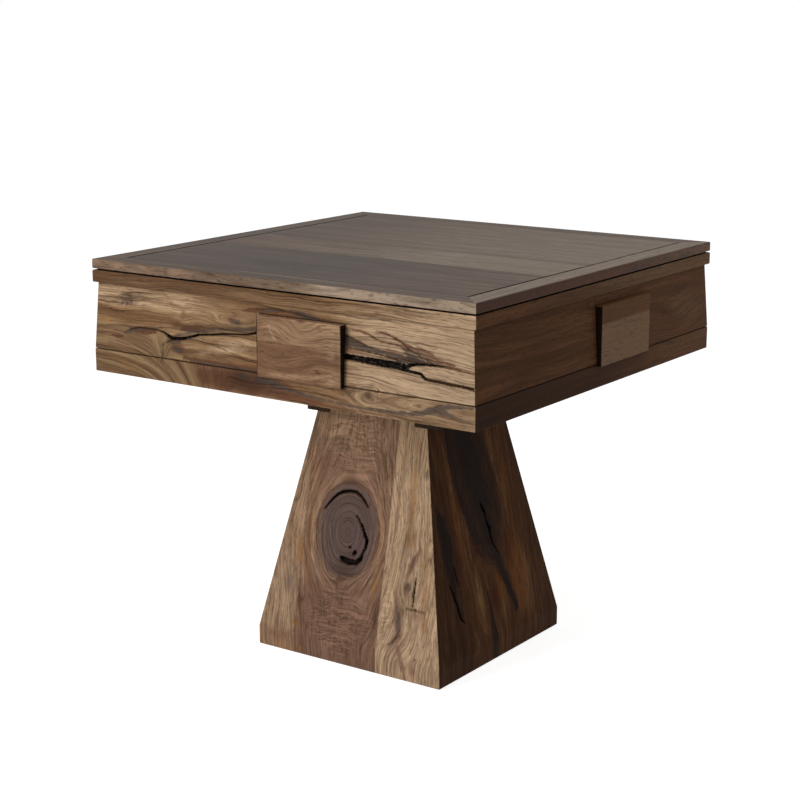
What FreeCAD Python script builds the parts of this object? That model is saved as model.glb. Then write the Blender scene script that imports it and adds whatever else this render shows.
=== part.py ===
"""Mahjong table: a square wooden table on a tapered pedestal, with one drawer in each side.

Frame: the origin lies on the floor under the middle of the table, +Z is up, and all lengths are
in millimetres.  The four sides are alike.  Each sideways piece is drawn once on the +Y side and
turned about Z to its own side.  Seen from outside a drawer, its box and its handle block stand to
the right of the middle, so that the four boxes follow each other round a closed middle space.
"""
import FreeCAD, Part
import Sketcher

import math
import os
import re

# ---------------------------------------------------------------------------------------------
# Driving dimensions
# ---------------------------------------------------------------------------------------------
DIMENSIONS = {
    # the whole table
    "table_height": 760,
    "table_width": 830,
    # lift-off lid
    "lid_thickness": 20,
    "lid_frame_width": 46,
    "lid_seat_gap": 0.3,
    "lid_rebate_height": 2.7,
    "lid_rebate_depth": 7,
    "lid_edge_chamfer": 0.8,
    "plank_end_gap": 1.2,
    "front_plank_width": 252,
    "middle_plank_width": 136,
    "cleat_width": 40,
    "cleat_cloth_gap": 0.8,
    "cleat_clearance": 1,
    "cleat_end_gap": 1,
    "cleat_screw_diameter": 4,
    "cleat_screw_length": 20,
    "cleat_screw_head_diameter": 8,
    "cleat_screw_head_height": 2,
    "cleat_screw_end_distance": 70,
    # carcase
    "rail_thickness": 24,
    "rail_edge_chamfer": 0.8,
    "upper_rail_height": 22,
    "lower_rail_height": 42,
    "drawer_opening_height": 123,
    "playing_recess": 9,
    "playing_board_thickness": 12,
    "playing_cloth_thickness": 1.5,
    "playing_cloth_margin": 0.5,
    "bottom_panel_thickness": 18,
    "post_size": 44,
    "partition_thickness": 15,
    "partition_end_gap": 0.2,
    "runner_width": 20,
    # drawers
    "front_lean": 7,
    "front_edge_gap": 1,
    "front_rest_gap": 0.5,
    "front_mitre_gap": 0.6,
    "handle_offset": 66,
    "handle_width": 180,
    "handle_height": 106,
    "handle_stand_out": 8,
    "handle_hang": 4,
    "handle_hang_clearance": 0.6,
    "handle_screw_spacing": 100,
    "handle_screw_drop": 42,
    "handle_screw_diameter": 4,
    "handle_screw_tip_cover": 3.5,
    "handle_screw_head_diameter": 8,
    "handle_screw_head_height": 2.2,
    "box_side_clearance": 1,
    "box_rear_clearance": 1.5,
    "box_runner_gap": 0.3,
    "box_head_room": 12.7,
    "box_side_thickness": 10,
    "box_back_thickness": 10,
    "box_bottom_thickness": 5,
    "box_bottom_rise": 8,
    "box_groove_depth": 4,
    # pedestal
    "pedestal_base": 420,
    "pedestal_neck": 252,
    "plinth_height": 39,
    "pedestal_board": 25,
    "bearer_width": 53,
    "bearer_height": 93.7,
    "bearer_notch_width": 29,
    "floor_board_thickness": 18,
    "neck_plate_thickness": 18,
    "corner_block_size": 40,
    "dowel_diameter": 10,
    "dowel_half_length": 20,
    "dowel_end_distance": 51,
    "glide_diameter": 30,
    "glide_height": 2,
    "glide_pin_diameter": 4,
    "glide_pin_length": 10,
    "glide_corner_distance": 17,
    "carcase_screw_diameter": 8,
    "carcase_screw_tip_cover": 43.7,
    "carcase_screw_head_diameter": 13,
    "carcase_screw_head_height": 5.5,
    "carcase_screw_end_distance": 51,
}

# Turn of each side about Z, from the +Y side on which the pieces are drawn
SIDE_TURNS = {"back": 0, "left": 90, "front": 180, "right": 270}

# ---------------------------------------------------------------------------------------------
# Derived levels and distances, as formulas of the driving dimensions
# ---------------------------------------------------------------------------------------------
DERIVED = {
    "half_table": "table_width / 2",
    # levels of the carcase, from the top down
    "lid_underside": "table_height - lid_thickness",
    "rail_top": "lid_underside - lid_seat_gap",
    "upper_rail_bottom": "rail_top - upper_rail_height",
    "board_top": "rail_top - playing_recess",
    "board_bottom": "board_top - playing_board_thickness",
    "lower_rail_top": "upper_rail_bottom - drawer_opening_height",
    "underside": "lower_rail_top - lower_rail_height",
    "panel_top": "underside + bottom_panel_thickness",
    # distances from the middle of the table, in plan
    "rail_inner": "half_table - rail_thickness",
    "post_inner": "rail_inner - post_size",
    "box_right": "post_inner - box_side_clearance",
    "box_left": "box_right - 2 * handle_offset",
    "box_half": "box_right - handle_offset",
    "partition_near": "box_half - handle_offset + box_side_clearance",
    "partition_far": "partition_near + partition_thickness",
    "box_back_face": "partition_far + box_rear_clearance",
    # drawer front
    "front_back_face": "rail_inner + front_rest_gap",
    "front_bottom": "lower_rail_top + front_edge_gap",
    "front_top": "upper_rail_bottom - front_edge_gap",
    "handle_bottom": "front_bottom - handle_hang",
    "handle_top": "handle_bottom + handle_height",
    "handle_face": "half_table + handle_stand_out",
    "handle_top_seat": "half_table - front_lean * (handle_top - front_bottom) / (front_top - front_bottom)",
    "screw_level": "handle_top - handle_screw_drop",
    "screw_tip": "handle_face - handle_screw_tip_cover",
    # drawer box
    "box_floor": "lower_rail_top + box_runner_gap",
    "box_top": "upper_rail_bottom - box_head_room",
    "box_panel_bottom": "box_floor + box_bottom_rise",
    "box_panel_top": "box_panel_bottom + box_bottom_thickness",
    # pedestal
    "base_half": "pedestal_base / 2",
    "neck_half": "pedestal_neck / 2",
    "neck_level": "underside - bearer_height",
    "taper": "(base_half - neck_half) / (neck_level - plinth_height)",
    "tongue_top_half": "neck_half - taper * bearer_height",
    "bearer_inner": "neck_half - bearer_notch_width",
    "bearer_outer": "bearer_inner + bearer_width",
    "carcase_screw_tip": "neck_level + carcase_screw_tip_cover",
    "floor_board_top": "glide_height + floor_board_thickness",
    "plate_bottom": "neck_level - neck_plate_thickness",
    "glide_centre": "base_half - pedestal_board - glide_corner_distance",
    # lid
    "frame_inner": "half_table - lid_frame_width",
    "cleat_outer": "rail_inner - cleat_clearance",
    "cleat_inner": "cleat_outer - cleat_width",
    "cleat_bottom": "board_top + playing_cloth_thickness + cleat_cloth_gap",
    "cleat_height": "lid_underside - cleat_bottom",
    "front_seam": "frame_inner - front_plank_width",
    "rear_seam": "middle_plank_width - front_seam",
}

WORD = re.compile(r"[a-z_]+")


def formula(text):
    """Turns a formula of named sizes into one that reads the cells of the sheet."""
    def spell(found):
        name = found.group(0)
        if name in DERIVED:
            return "(" + formula(DERIVED[name]) + ")"
        if name in DIMENSIONS:
            return "Sizes." + name
        raise KeyError(name)
    return WORD.sub(spell, text)


def make_sheet(document):
    """Writes the driving dimensions to the sheet, one row each, under their names."""
    sheet = document.addObject("Spreadsheet::Sheet", "Sizes")
    for row, (name, value) in enumerate(DIMENSIONS.items(), start=1):
        sheet.set(f"A{row}", name)
        sheet.set(f"B{row}", str(value))
        sheet.setAlias(f"B{row}", name)
    document.recompute()
    return sheet


# ---------------------------------------------------------------------------------------------
# Drawing tools
# ---------------------------------------------------------------------------------------------
def rectangle(left, right, low, high):
    """Corners of a rectangle, as formulas."""
    return [(left, low), (right, low), (right, high), (left, high)]


def mirrored(points):
    """The same points on the other side of the sketch's vertical axis."""
    return [(f"-({across})", along) for across, along in points]


def turned(points, turns):
    """The same points turned about the sketch's origin by a number of quarter turns."""
    for _ in range(turns):
        points = [(f"-({along})", across) for across, along in points]
    return points


def ring(points):
    """Four copies of the points, one for each side of the table."""
    return [turned(points, turns) for turns in range(4)]


class Piece:
    """One sub-part: a body whose sketches and features are bound to the sheet of sizes."""

    def __init__(self, document, label, turn=0):
        self.body = document.addObject("PartDesign::Body", "Body")
        self.body.Label = label
        self.body.Placement = FreeCAD.Placement(
            FreeCAD.Vector(0, 0, 0), FreeCAD.Rotation(FreeCAD.Vector(0, 0, 1), turn))

    def sketch(self, role, offset="0"):
        """A new sketch on one of the body's origin planes, moved along that plane's normal."""
        features = self.body.Origin.OriginFeatures
        plane = next(item for item in features if item.Role == role)
        sketch = self.body.newObject("Sketcher::SketchObject", "Sketch")
        sketch.AttachmentSupport = [(plane, "")]
        sketch.MapMode = "FlatFace"
        sketch.setExpression("AttachmentOffset.Base.z", formula(offset))
        return sketch

    def hold(self, sketch, kind, where, text):
        """Adds one size to a sketch and binds it to a formula."""
        index = sketch.addConstraint(Sketcher.Constraint(kind, *where, 1.0))
        sketch.setExpression(f"Constraints[{index}]", formula(text))

    def outline(self, sketch, points):
        """Draws a closed outline of straight lines through points given as formulas."""
        first = sketch.GeometryCount
        count = len(points)
        corners = [FreeCAD.Vector(math.cos(2 * math.pi * index / count),
                                  math.sin(2 * math.pi * index / count), 0)
                   for index in range(count)]
        for index in range(count):
            line = Part.LineSegment(corners[index], corners[(index + 1) % count])
            sketch.addGeometry(line, False)
        for index in range(count):
            following = first + (index + 1) % count
            sketch.addConstraint(Sketcher.Constraint("Coincident", first + index, 2, following, 1))
        for index, (across, along) in enumerate(points):
            self.hold(sketch, "DistanceX", (-1, 1, first + index, 1), across)
            self.hold(sketch, "DistanceY", (-1, 1, first + index, 1), along)

    def circle(self, sketch, centre, diameter):
        """Draws a circle about a centre given as formulas."""
        curve = Part.Circle(FreeCAD.Vector(1, 1, 0), FreeCAD.Vector(0, 0, 1), 1)
        index = sketch.addGeometry(curve, False)
        self.hold(sketch, "DistanceX", (-1, 1, index, 3), centre[0])
        self.hold(sketch, "DistanceY", (-1, 1, index, 3), centre[1])
        self.hold(sketch, "Diameter", (index,), diameter)

    def feature(self, kind, sketch, length, reverse=False, both_ways=False):
        """Adds a pad or a pocket of a sketch, with a length given as a formula."""
        feature = self.body.newObject("PartDesign::" + kind, kind)
        feature.Profile = sketch
        feature.setExpression("Length", formula(length))
        feature.SideType = "Symmetric" if both_ways else "One side"
        feature.Reversed = reverse
        sketch.Visibility = False
        self.body.Tip = feature
        return feature

    def slab(self, outlines, bottom, height):
        """Stands outlines drawn in plan on a level, with one height."""
        sketch = self.sketch("XY_Plane", bottom)
        for points in outlines:
            self.outline(sketch, points)
        return self.feature("Pad", sketch, height)

    def pins(self, centres, diameter, bottom, height):
        """Stands round pins on a level."""
        sketch = self.sketch("XY_Plane", bottom)
        for centre in centres:
            self.circle(sketch, centre, diameter)
        return self.feature("Pad", sketch, height)

    def drill(self, centres, diameter, level, depth, upward=False):
        """Drills upright holes from a level, down or up."""
        sketch = self.sketch("XY_Plane", level)
        for centre in centres:
            self.circle(sketch, centre, diameter)
        return self.feature("Pocket", sketch, depth, reverse=upward)

    def length_of_profile(self, profile, length):
        """Runs a profile of outward distance and level along the side, centred on it."""
        sketch = self.sketch("YZ_Plane")
        self.outline(sketch, profile)
        return self.feature("Pad", sketch, length, both_ways=True)

    def mitre(self, inner, outer, top, gap="0"):
        """Cuts both ends of a board on the upright diagonal planes of the table.

        The cutters start well inside the board and end well outside it.  The gap keeps the cut
        that far from the diagonal, measured along the side.
        """
        near = f"{inner} / 2"
        far = f"2 * {outer}"
        wide = f"3 * {outer}"
        cutter = [(f"{near} - {gap}", near), (wide, near), (wide, far), (f"{far} - {gap}", far)]
        sketch = self.sketch("XY_Plane")
        self.outline(sketch, cutter)
        self.outline(sketch, mirrored(cutter))
        return self.feature("Pocket", sketch, f"3 * {top}", both_ways=True)


def mitred_board(document, label, turn, profile, inner, outer, top, gap="0"):
    """A board along one side of the table, mitred to its neighbours at both ends."""
    piece = Piece(document, label, turn)
    piece.length_of_profile(profile, f"2 * {outer}")
    piece.mitre(inner, outer, top, gap)
    return piece


def square_slab(document, label, half, bottom, height):
    """A square panel about the middle of the table."""
    piece = Piece(document, label)
    piece.slab([rectangle(f"-{half}", half, f"-{half}", half)], bottom, height)
    return piece


# ---------------------------------------------------------------------------------------------
# Pedestal
# ---------------------------------------------------------------------------------------------
NECK_DOWELS = [("neck_half - dowel_end_distance", "neck_half - pedestal_board / 2"),
               ("dowel_end_distance - neck_half", "neck_half - pedestal_board / 2")]
BEARER_SCREWS = [("(bearer_inner + bearer_outer) / 2", "neck_half - carcase_screw_end_distance"),
                 ("(bearer_inner + bearer_outer) / 2", "carcase_screw_end_distance - neck_half")]
GLIDE_CENTRE = [("glide_centre", "glide_centre")]


def pedestal_profile(top_half, top_level):
    """Outward distance and level of a panel: an upright plinth, then one straight taper."""
    return [("base_half", "glide_height"),
            ("base_half", "plinth_height"),
            (top_half, top_level),
            (f"{top_half} - pedestal_board", top_level),
            ("base_half - pedestal_board", "plinth_height"),
            ("base_half - pedestal_board", "glide_height")]


def tall_pedestal_panel(document, side, turn):
    """Front or back panel: its top corners are notched round the bearers."""
    piece = mitred_board(
        document, f"pedestal_{side}_panel", turn, pedestal_profile("tongue_top_half", "underside"),
        "(tongue_top_half - pedestal_board)", "base_half", "underside")
    notch = rectangle("bearer_inner", "base_half", "neck_level", "table_height")
    sketch = piece.sketch("XZ_Plane")
    piece.outline(sketch, notch)
    piece.outline(sketch, mirrored(notch))
    piece.feature("Pocket", sketch, "2 * pedestal_base", both_ways=True)


def low_pedestal_panel(document, side, turn):
    """Side panel: it ends under the bearer and is dowelled to it."""
    piece = mitred_board(
        document, f"pedestal_{side}_panel", turn,
        pedestal_profile("neck_half", "neck_level"),
        "(neck_half - pedestal_board)", "base_half", "neck_level")
    piece.drill(NECK_DOWELS, "dowel_diameter", "neck_level", "dowel_half_length")


def bearer(document, side, turn):
    """Beam that lies in the notches of the pedestal and carries the carcase."""
    piece = Piece(document, f"{side}_bearer", turn)
    outline = rectangle("bearer_inner", "bearer_outer", "-neck_half", "neck_half")
    piece.slab([outline], "neck_level", "bearer_height")
    dowels = turned(NECK_DOWELS, 3)
    piece.drill(dowels, "dowel_diameter", "neck_level", "dowel_half_length", upward=True)
    piece.drill(BEARER_SCREWS, "carcase_screw_diameter", "underside", "underside - carcase_screw_tip")


def pedestal(document):
    """Hollow tapered column with its bearers, stiffening boards and floor glides."""
    for side in ("back", "front"):
        tall_pedestal_panel(document, side, SIDE_TURNS[side])
    for side in ("left", "right"):
        low_pedestal_panel(document, side, SIDE_TURNS[side])
    bearer(document, "right", 0)
    bearer(document, "left", 180)

    floor_board = square_slab(document, "pedestal_floor_board", "(base_half - pedestal_board)",
                              "glide_height", "floor_board_thickness")
    floor_board.drill([centre for group in ring(GLIDE_CENTRE) for centre in group],
                      "glide_pin_diameter", "glide_height", "glide_pin_length", upward=True)

    neck_plate = Piece(document, "pedestal_neck_plate")
    top_half = "(neck_half - pedestal_board)"
    bottom_half = f"({top_half} + taper * neck_plate_thickness)"
    sections = []
    for half, level in ((bottom_half, "plate_bottom"), (top_half, "neck_level")):
        section = neck_plate.sketch("XY_Plane", level)
        neck_plate.outline(section, rectangle(f"-{half}", half, f"-{half}", half))
        sections.append(section)
    loft = neck_plate.body.newObject("PartDesign::AdditiveLoft", "Loft")
    loft.Profile = sections[0]
    loft.Sections = sections[1:]
    loft.Ruled = True
    neck_plate.body.Tip = loft

    blocks = Piece(document, "pedestal_corner_blocks")
    near = "base_half - pedestal_board - corner_block_size"
    far = "base_half - pedestal_board"
    blocks.slab(ring(rectangle(near, far, near, far)), "floor_board_top",
                "plinth_height - floor_board_top")

    dowels = Piece(document, "bearer_dowels")
    centres = turned(NECK_DOWELS, 1) + turned(NECK_DOWELS, 3)
    dowels.pins(centres, "dowel_diameter", "neck_level - dowel_half_length",
                "2 * dowel_half_length")

    glides = Piece(document, "floor_glides")
    centres = [centre for group in ring(GLIDE_CENTRE) for centre in group]
    glides.pins(centres, "glide_diameter", "0", "glide_height")
    glides.pins(centres, "glide_pin_diameter", "0", "glide_height + glide_pin_length")


# ---------------------------------------------------------------------------------------------
# Carcase
# ---------------------------------------------------------------------------------------------
def rail_profile(bottom, top):
    """Rail with both outer edges eased."""
    return [("rail_inner", bottom),
            ("half_table - rail_edge_chamfer", bottom),
            ("half_table", f"{bottom} + rail_edge_chamfer"),
            ("half_table", f"{top} - rail_edge_chamfer"),
            ("half_table - rail_edge_chamfer", top),
            ("rail_inner", top)]


def carcase(document):
    """Fixed box of the table: rails, posts, partitions, runners and playing board."""
    for side, turn in SIDE_TURNS.items():
        mitred_board(document, f"lower_rail_{side}", turn, rail_profile("underside", "lower_rail_top"),
                     "rail_inner", "half_table", "lower_rail_top")
        mitred_board(document, f"upper_rail_{side}", turn, rail_profile("upper_rail_bottom", "rail_top"),
                     "rail_inner", "half_table", "rail_top")

    bottom_panel = square_slab(document, "carcase_bottom_panel", "rail_inner",
                               "underside", "bottom_panel_thickness")
    screws = BEARER_SCREWS + turned(BEARER_SCREWS, 2)
    bottom_panel.drill(screws, "carcase_screw_diameter", "panel_top", "bottom_panel_thickness")

    carcase_screws = Piece(document, "carcase_screws")
    carcase_screws.pins(screws, "carcase_screw_diameter", "carcase_screw_tip",
                        "panel_top - carcase_screw_tip")
    carcase_screws.pins(screws, "carcase_screw_head_diameter", "panel_top",
                        "carcase_screw_head_height")

    posts = Piece(document, "corner_posts")
    posts.slab(ring(rectangle("post_inner", "rail_inner", "post_inner", "rail_inner")),
               "panel_top", "board_bottom - panel_top")

    partitions = Piece(document, "drawer_partitions")
    wall = rectangle("partition_near", "partition_far",
                     "partition_end_gap - partition_near", "rail_inner")
    partitions.slab(ring(wall), "panel_top", "board_bottom - panel_top")

    runners = Piece(document, "drawer_runners")
    under_right = rectangle("-post_inner", "runner_width - post_inner", "partition_far", "rail_inner")
    under_left = rectangle("partition_near - runner_width", "partition_near",
                           "partition_far", "rail_inner")
    runners.slab(ring(under_right) + ring(under_left), "panel_top", "lower_rail_top - panel_top")

    square_slab(document, "playing_board", "rail_inner", "board_bottom", "playing_board_thickness")
    square_slab(document, "playing_cloth", "(rail_inner - playing_cloth_margin)", "board_top",
                "playing_cloth_thickness")


# ---------------------------------------------------------------------------------------------
# Drawers
# ---------------------------------------------------------------------------------------------
HANDLE_SCREWS = [("handle_screw_spacing / 2 - handle_offset", "screw_level"),
                 ("-handle_screw_spacing / 2 - handle_offset", "screw_level")]


def drawer_front(document, side, turn):
    """Mitred front whose face leans back from the bottom edge to the top edge."""
    profile = [("front_back_face", "front_bottom"),
               ("half_table", "front_bottom"),
               ("half_table - front_lean", "front_top"),
               ("front_back_face", "front_top")]
    piece = mitred_board(document, f"{side}_drawer_front", turn, profile,
                         "front_back_face", "half_table", "front_top", "front_mitre_gap")
    sketch = piece.sketch("XZ_Plane")
    for centre in HANDLE_SCREWS:
        piece.circle(sketch, centre, "handle_screw_diameter")
    piece.feature("Pocket", sketch, "2 * table_width", both_ways=True)


def handle_block(document, side, turn):
    """Upright block on the leaning front, with a lip that hangs in front of the lower rail."""
    piece = Piece(document, f"{side}_drawer_handle", turn)
    profile = [("handle_face", "handle_bottom"),
               ("handle_face", "handle_top"),
               ("handle_top_seat", "handle_top"),
               ("half_table", "front_bottom"),
               ("half_table + handle_hang_clearance", "front_bottom"),
               ("half_table + handle_hang_clearance", "handle_bottom")]
    sketch = piece.sketch("YZ_Plane", "-handle_offset - handle_width / 2")
    piece.outline(sketch, profile)
    piece.feature("Pad", sketch, "handle_width")
    holes = piece.sketch("XZ_Plane", "-screw_tip")
    for centre in HANDLE_SCREWS:
        piece.circle(holes, centre, "handle_screw_diameter")
    piece.feature("Pocket", holes, "screw_tip - front_back_face", reverse=True)


def handle_screws(document, side, turn):
    """Two screws from inside the drawer, through the front and into the block."""
    piece = Piece(document, f"{side}_drawer_handle_screws", turn)
    shanks = piece.sketch("XZ_Plane", "-screw_tip")
    for centre in HANDLE_SCREWS:
        piece.circle(shanks, centre, "handle_screw_diameter")
    piece.feature("Pad", shanks, "screw_tip - front_back_face")
    heads = piece.sketch("XZ_Plane", "-front_back_face")
    for centre in HANDLE_SCREWS:
        piece.circle(heads, centre, "handle_screw_head_diameter")
    piece.feature("Pad", heads, "handle_screw_head_height")


def drawer_box(document, side, turn):
    """Two sides with a groove each, a bottom in the grooves and a back on the bottom."""
    groove_right = "box_side_thickness - box_groove_depth - box_right"
    groove_left = "box_left - box_side_thickness + box_groove_depth"

    sides = Piece(document, f"{side}_drawer_sides", turn)
    right_side = rectangle("-box_right", "box_side_thickness - box_right",
                           "box_back_face", "front_back_face")
    left_side = rectangle("box_left - box_side_thickness", "box_left",
                          "box_back_face", "front_back_face")
    sides.slab([right_side, left_side], "box_floor", "box_top - box_floor")
    sketch = sides.sketch("XZ_Plane")
    sides.outline(sketch, rectangle(groove_right, groove_left, "box_panel_bottom", "box_panel_top"))
    sides.feature("Pocket", sketch, "2 * table_width", both_ways=True)

    bottom = Piece(document, f"{side}_drawer_bottom", turn)
    bottom.slab([rectangle(groove_right, groove_left, "box_back_face", "front_back_face")],
                "box_panel_bottom", "box_bottom_thickness")

    back = Piece(document, f"{side}_drawer_back", turn)
    back.slab([rectangle("box_side_thickness - box_right", "box_left - box_side_thickness",
                         "box_back_face", "box_back_face + box_back_thickness")],
              "box_panel_top", "box_top - box_panel_top")


def drawers(document):
    """One drawer in each side of the table."""
    for side, turn in SIDE_TURNS.items():
        drawer_front(document, side, turn)
        handle_block(document, side, turn)
        handle_screws(document, side, turn)
        drawer_box(document, side, turn)


# ---------------------------------------------------------------------------------------------
# Lid
# ---------------------------------------------------------------------------------------------
CLEAT_SCREWS = [("cleat_outer - cleat_screw_end_distance", "(frame_inner + cleat_outer) / 2"),
                ("cleat_screw_end_distance - cleat_outer", "(frame_inner + cleat_outer) / 2")]


def lid(document):
    """Lift-off top: a mitred frame round three planks, with cleats that drop inside the rails."""
    profile = [("frame_inner", "lid_underside"),
               ("half_table - lid_rebate_depth", "lid_underside"),
               ("half_table - lid_rebate_depth", "lid_underside + lid_rebate_height"),
               ("half_table", "lid_underside + lid_rebate_height"),
               ("half_table", "table_height - lid_edge_chamfer"),
               ("half_table - lid_edge_chamfer", "table_height"),
               ("frame_inner", "table_height")]
    for side, turn in SIDE_TURNS.items():
        board = mitred_board(document, f"lid_frame_{side}", turn, profile,
                             "frame_inner", "half_table", "table_height")
        board.drill(CLEAT_SCREWS, "cleat_screw_diameter", "lid_underside",
                    "cleat_screw_length - cleat_height", upward=True)

    plank_edges = {"front": ("-frame_inner", "-front_seam"),
                   "middle": ("-front_seam", "rear_seam"),
                   "rear": ("rear_seam", "frame_inner")}
    for name, (near, far) in plank_edges.items():
        plank = Piece(document, f"lid_plank_{name}")
        outline = rectangle("plank_end_gap - frame_inner", "frame_inner - plank_end_gap", near, far)
        plank.slab([outline], "lid_underside", "lid_thickness")

    cleats = Piece(document, "lid_cleats")
    cleat = rectangle("-cleat_outer", "cleat_inner - cleat_end_gap", "cleat_inner", "cleat_outer")
    cleats.slab(ring(cleat), "cleat_bottom", "cleat_height")
    centres = [centre for group in ring(CLEAT_SCREWS) for centre in group]
    cleats.drill(centres, "cleat_screw_diameter", "lid_underside", "cleat_height")
    cleats.drill(centres, "cleat_screw_head_diameter", "cleat_bottom",
                 "cleat_screw_head_height", upward=True)

    screws = Piece(document, "lid_cleat_screws")
    screws.pins(centres, "cleat_screw_diameter", "cleat_bottom", "cleat_screw_length")
    screws.pins(centres, "cleat_screw_head_diameter", "cleat_bottom", "cleat_screw_head_height")


# ---------------------------------------------------------------------------------------------
# Document, checks and files
# ---------------------------------------------------------------------------------------------
def check(document):
    """Stops on a failed object, a pocket that cuts nothing or a body without a sound shape."""
    for item in document.Objects:
        if "Invalid" in item.State or "Error" in item.State:
            raise RuntimeError(f"{item.Name} in {item.Label} failed: {item.State}")
        if item.TypeId == "PartDesign::Pocket":
            before = item.BaseFeature.Shape.Volume
            if item.Shape.Volume >= before:
                raise RuntimeError(f"{item.Name} cuts nothing")
        if item.TypeId == "PartDesign::Body" and (item.Shape.isNull() or not item.Shape.isValid()):
            raise RuntimeError(f"{item.Label} has no sound shape")


def main():
    """Builds the document, checks it and writes one file for each body."""
    document = FreeCAD.newDocument("MahjongTable")
    make_sheet(document)
    pedestal(document)
    carcase(document)
    drawers(document)
    lid(document)
    document.recompute()
    check(document)
    os.makedirs("parts", exist_ok=True)
    for body in document.findObjects("PartDesign::Body"):
        body.Shape.exportStep(f"parts/{body.Label}.step")
        print(body.Label, len(body.Shape.Solids), "solids", round(body.Shape.Volume), "mm3")


main()
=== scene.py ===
"""Looks of a square mahjong table: lift-off lid, four drawers and a tapered pedestal, in walnut.

Sizes are in millimetres and become metres where a mesh is made. Each side of the table has its own
flat face plane: u runs to the right along the side, v is the height above the floor, and r is
the distance from the upright plane through the table's centre out to the surface.
"""

import logging
import math
from dataclasses import dataclass
from enum import Enum, IntEnum
from typing import Any, Callable, Sequence

import bmesh
import bpy
import numpy as np
from mathutils import Matrix, Vector


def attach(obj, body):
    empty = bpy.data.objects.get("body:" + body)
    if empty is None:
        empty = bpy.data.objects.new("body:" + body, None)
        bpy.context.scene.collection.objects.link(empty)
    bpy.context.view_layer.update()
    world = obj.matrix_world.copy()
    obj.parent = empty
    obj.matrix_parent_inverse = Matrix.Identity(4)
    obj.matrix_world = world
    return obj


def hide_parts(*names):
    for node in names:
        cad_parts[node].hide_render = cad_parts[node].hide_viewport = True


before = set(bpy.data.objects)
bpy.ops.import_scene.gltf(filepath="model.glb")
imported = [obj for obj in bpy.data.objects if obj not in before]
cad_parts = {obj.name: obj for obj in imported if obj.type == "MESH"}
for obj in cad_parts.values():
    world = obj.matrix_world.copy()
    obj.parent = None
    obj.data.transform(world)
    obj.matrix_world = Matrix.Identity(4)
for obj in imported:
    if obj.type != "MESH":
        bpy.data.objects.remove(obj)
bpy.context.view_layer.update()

LOG = logging.getLogger("mahjong_table")
MM = 0.001
# In millimetres: the gap of a closed mitre, the gap between two boards laid edge to edge, corners
# so close that they are one, and the radius of a sanded edge.
HAIR_GAP = 0.05
SEAM_GAP = 0.1
SAME_PLACE = 0.01
SANDED_EDGE = 0.7
# A board's mesh has a narrow strip behind its outer face, and its edge marks show on part of it:
# rubbed wear that is partly a painted highlight, and lines of painted shade.
STRIP = 3.0
EDGE_MARK_REACH = 2.0
# Sine of half a right angle, at which two boards meet in a mitre.
MITRE = 0.7071
# Faces that meet at more than these angles are eased, look sharp, and are sanded.
EASED_ANGLE = math.radians(30)
SHARP_ANGLE = math.radians(32)
SANDED_ANGLE = math.radians(40)
# In metres: corners of a new mesh that are this close are one.
TOUCHING = 1e-6
# Every board is cut this far from the last one in the log, and the staves of one board this far.
BOARD_SHIFT = 410.0
STAVE_SHIFT = 230.0
Array = np.ndarray
Route = Sequence[tuple[float, float, float]]
Tree = bpy.types.NodeTree
Socket = bpy.types.NodeSocket
ATTRIBUTE, PLACE = "ShaderNodeAttribute", "ShaderNodeTexCoord"
MATH, VECTOR, RANGE = "ShaderNodeMath", "ShaderNodeVectorMath", "ShaderNodeMapRange"
NOISE, RAMP, BUMP = "ShaderNodeTexNoise", "ShaderNodeValToRGB", "ShaderNodeBump"
MIX, SURFACE = "ShaderNodeMix", "ShaderNodeBsdfPrincipled"
OUTPUT = "ShaderNodeOutputMaterial"


# -------- Small helpers --------
def linear(code: str) -> tuple[float, float, float, float]:
    """Turns an sRGB hex colour into linear light.

    Args:
        code: Six hex digits, such as "8F7053".

    Returns:
        Linear red, green, blue and an alpha of one.
    """
    parts = [int(code[i:i + 2], 16) / 255 for i in (0, 2, 4)]
    light = [p / 12.92 if p <= 0.04045 else ((p + 0.055) / 1.055) ** 2.4 for p in parts]
    return light[0], light[1], light[2], 1.0


def add_node(tree: Tree, kind: str, inputs: dict[int | str, Any] | None = None,
             output: int | str = 0, stops: Sequence[tuple[float, Any]] = (),
             **settings: Any) -> Any:
    """Adds one node with its settings, values and links.

    Args:
        tree: Node tree that gets the node.
        kind: Blender's type name of the node.
        inputs: Input name or number, with the value or the output socket that feeds it.
        output: Name or number of the output to return.
        stops: Rising places on a colour ramp, each with its colour or grey level.
        settings: Properties of the node itself.

    Returns:
        The wanted output socket, or nothing for a node without outputs.
    """
    node = tree.nodes.new(kind)
    for key, value in settings.items():
        setattr(node, key, value)
    for key, value in (inputs or {}).items():
        if isinstance(value, Socket):
            tree.links.new(value, node.inputs[key])
        else:
            node.inputs[key].default_value = value
    for number, (place, colour) in enumerate(stops):
        elements = node.color_ramp.elements
        element = elements[number] if number < 2 else elements.new(place)
        element.position = place
        element.color = (colour,) * 3 + (1.0,) if isinstance(colour, float) else colour
    return node.outputs[output] if len(node.outputs) else None


def stand(name: str, data: Any) -> bpy.types.Object:
    """Makes an object and puts it in the scene.

    Args:
        name: Name of the object.
        data: Its mesh, lamp or camera.

    Returns:
        The new object.
    """
    thing = bpy.data.objects.new(name, data)
    bpy.context.scene.collection.objects.link(thing)
    return thing


def new_material(name: str) -> bpy.types.Material:
    """Makes a material with an empty node tree.

    Args:
        name: Name of the material.

    Returns:
        The new material.
    """
    material = bpy.data.materials.new(name)
    material.use_nodes = True
    material.node_tree.nodes.clear()
    return material


def smooth(x: Array) -> Array:
    """Eases 0 to 1 with a flat start and end, and holds what lies outside."""
    t = np.clip(x, 0.0, 1.0)
    return t * t * (3.0 - 2.0 * t)


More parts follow.
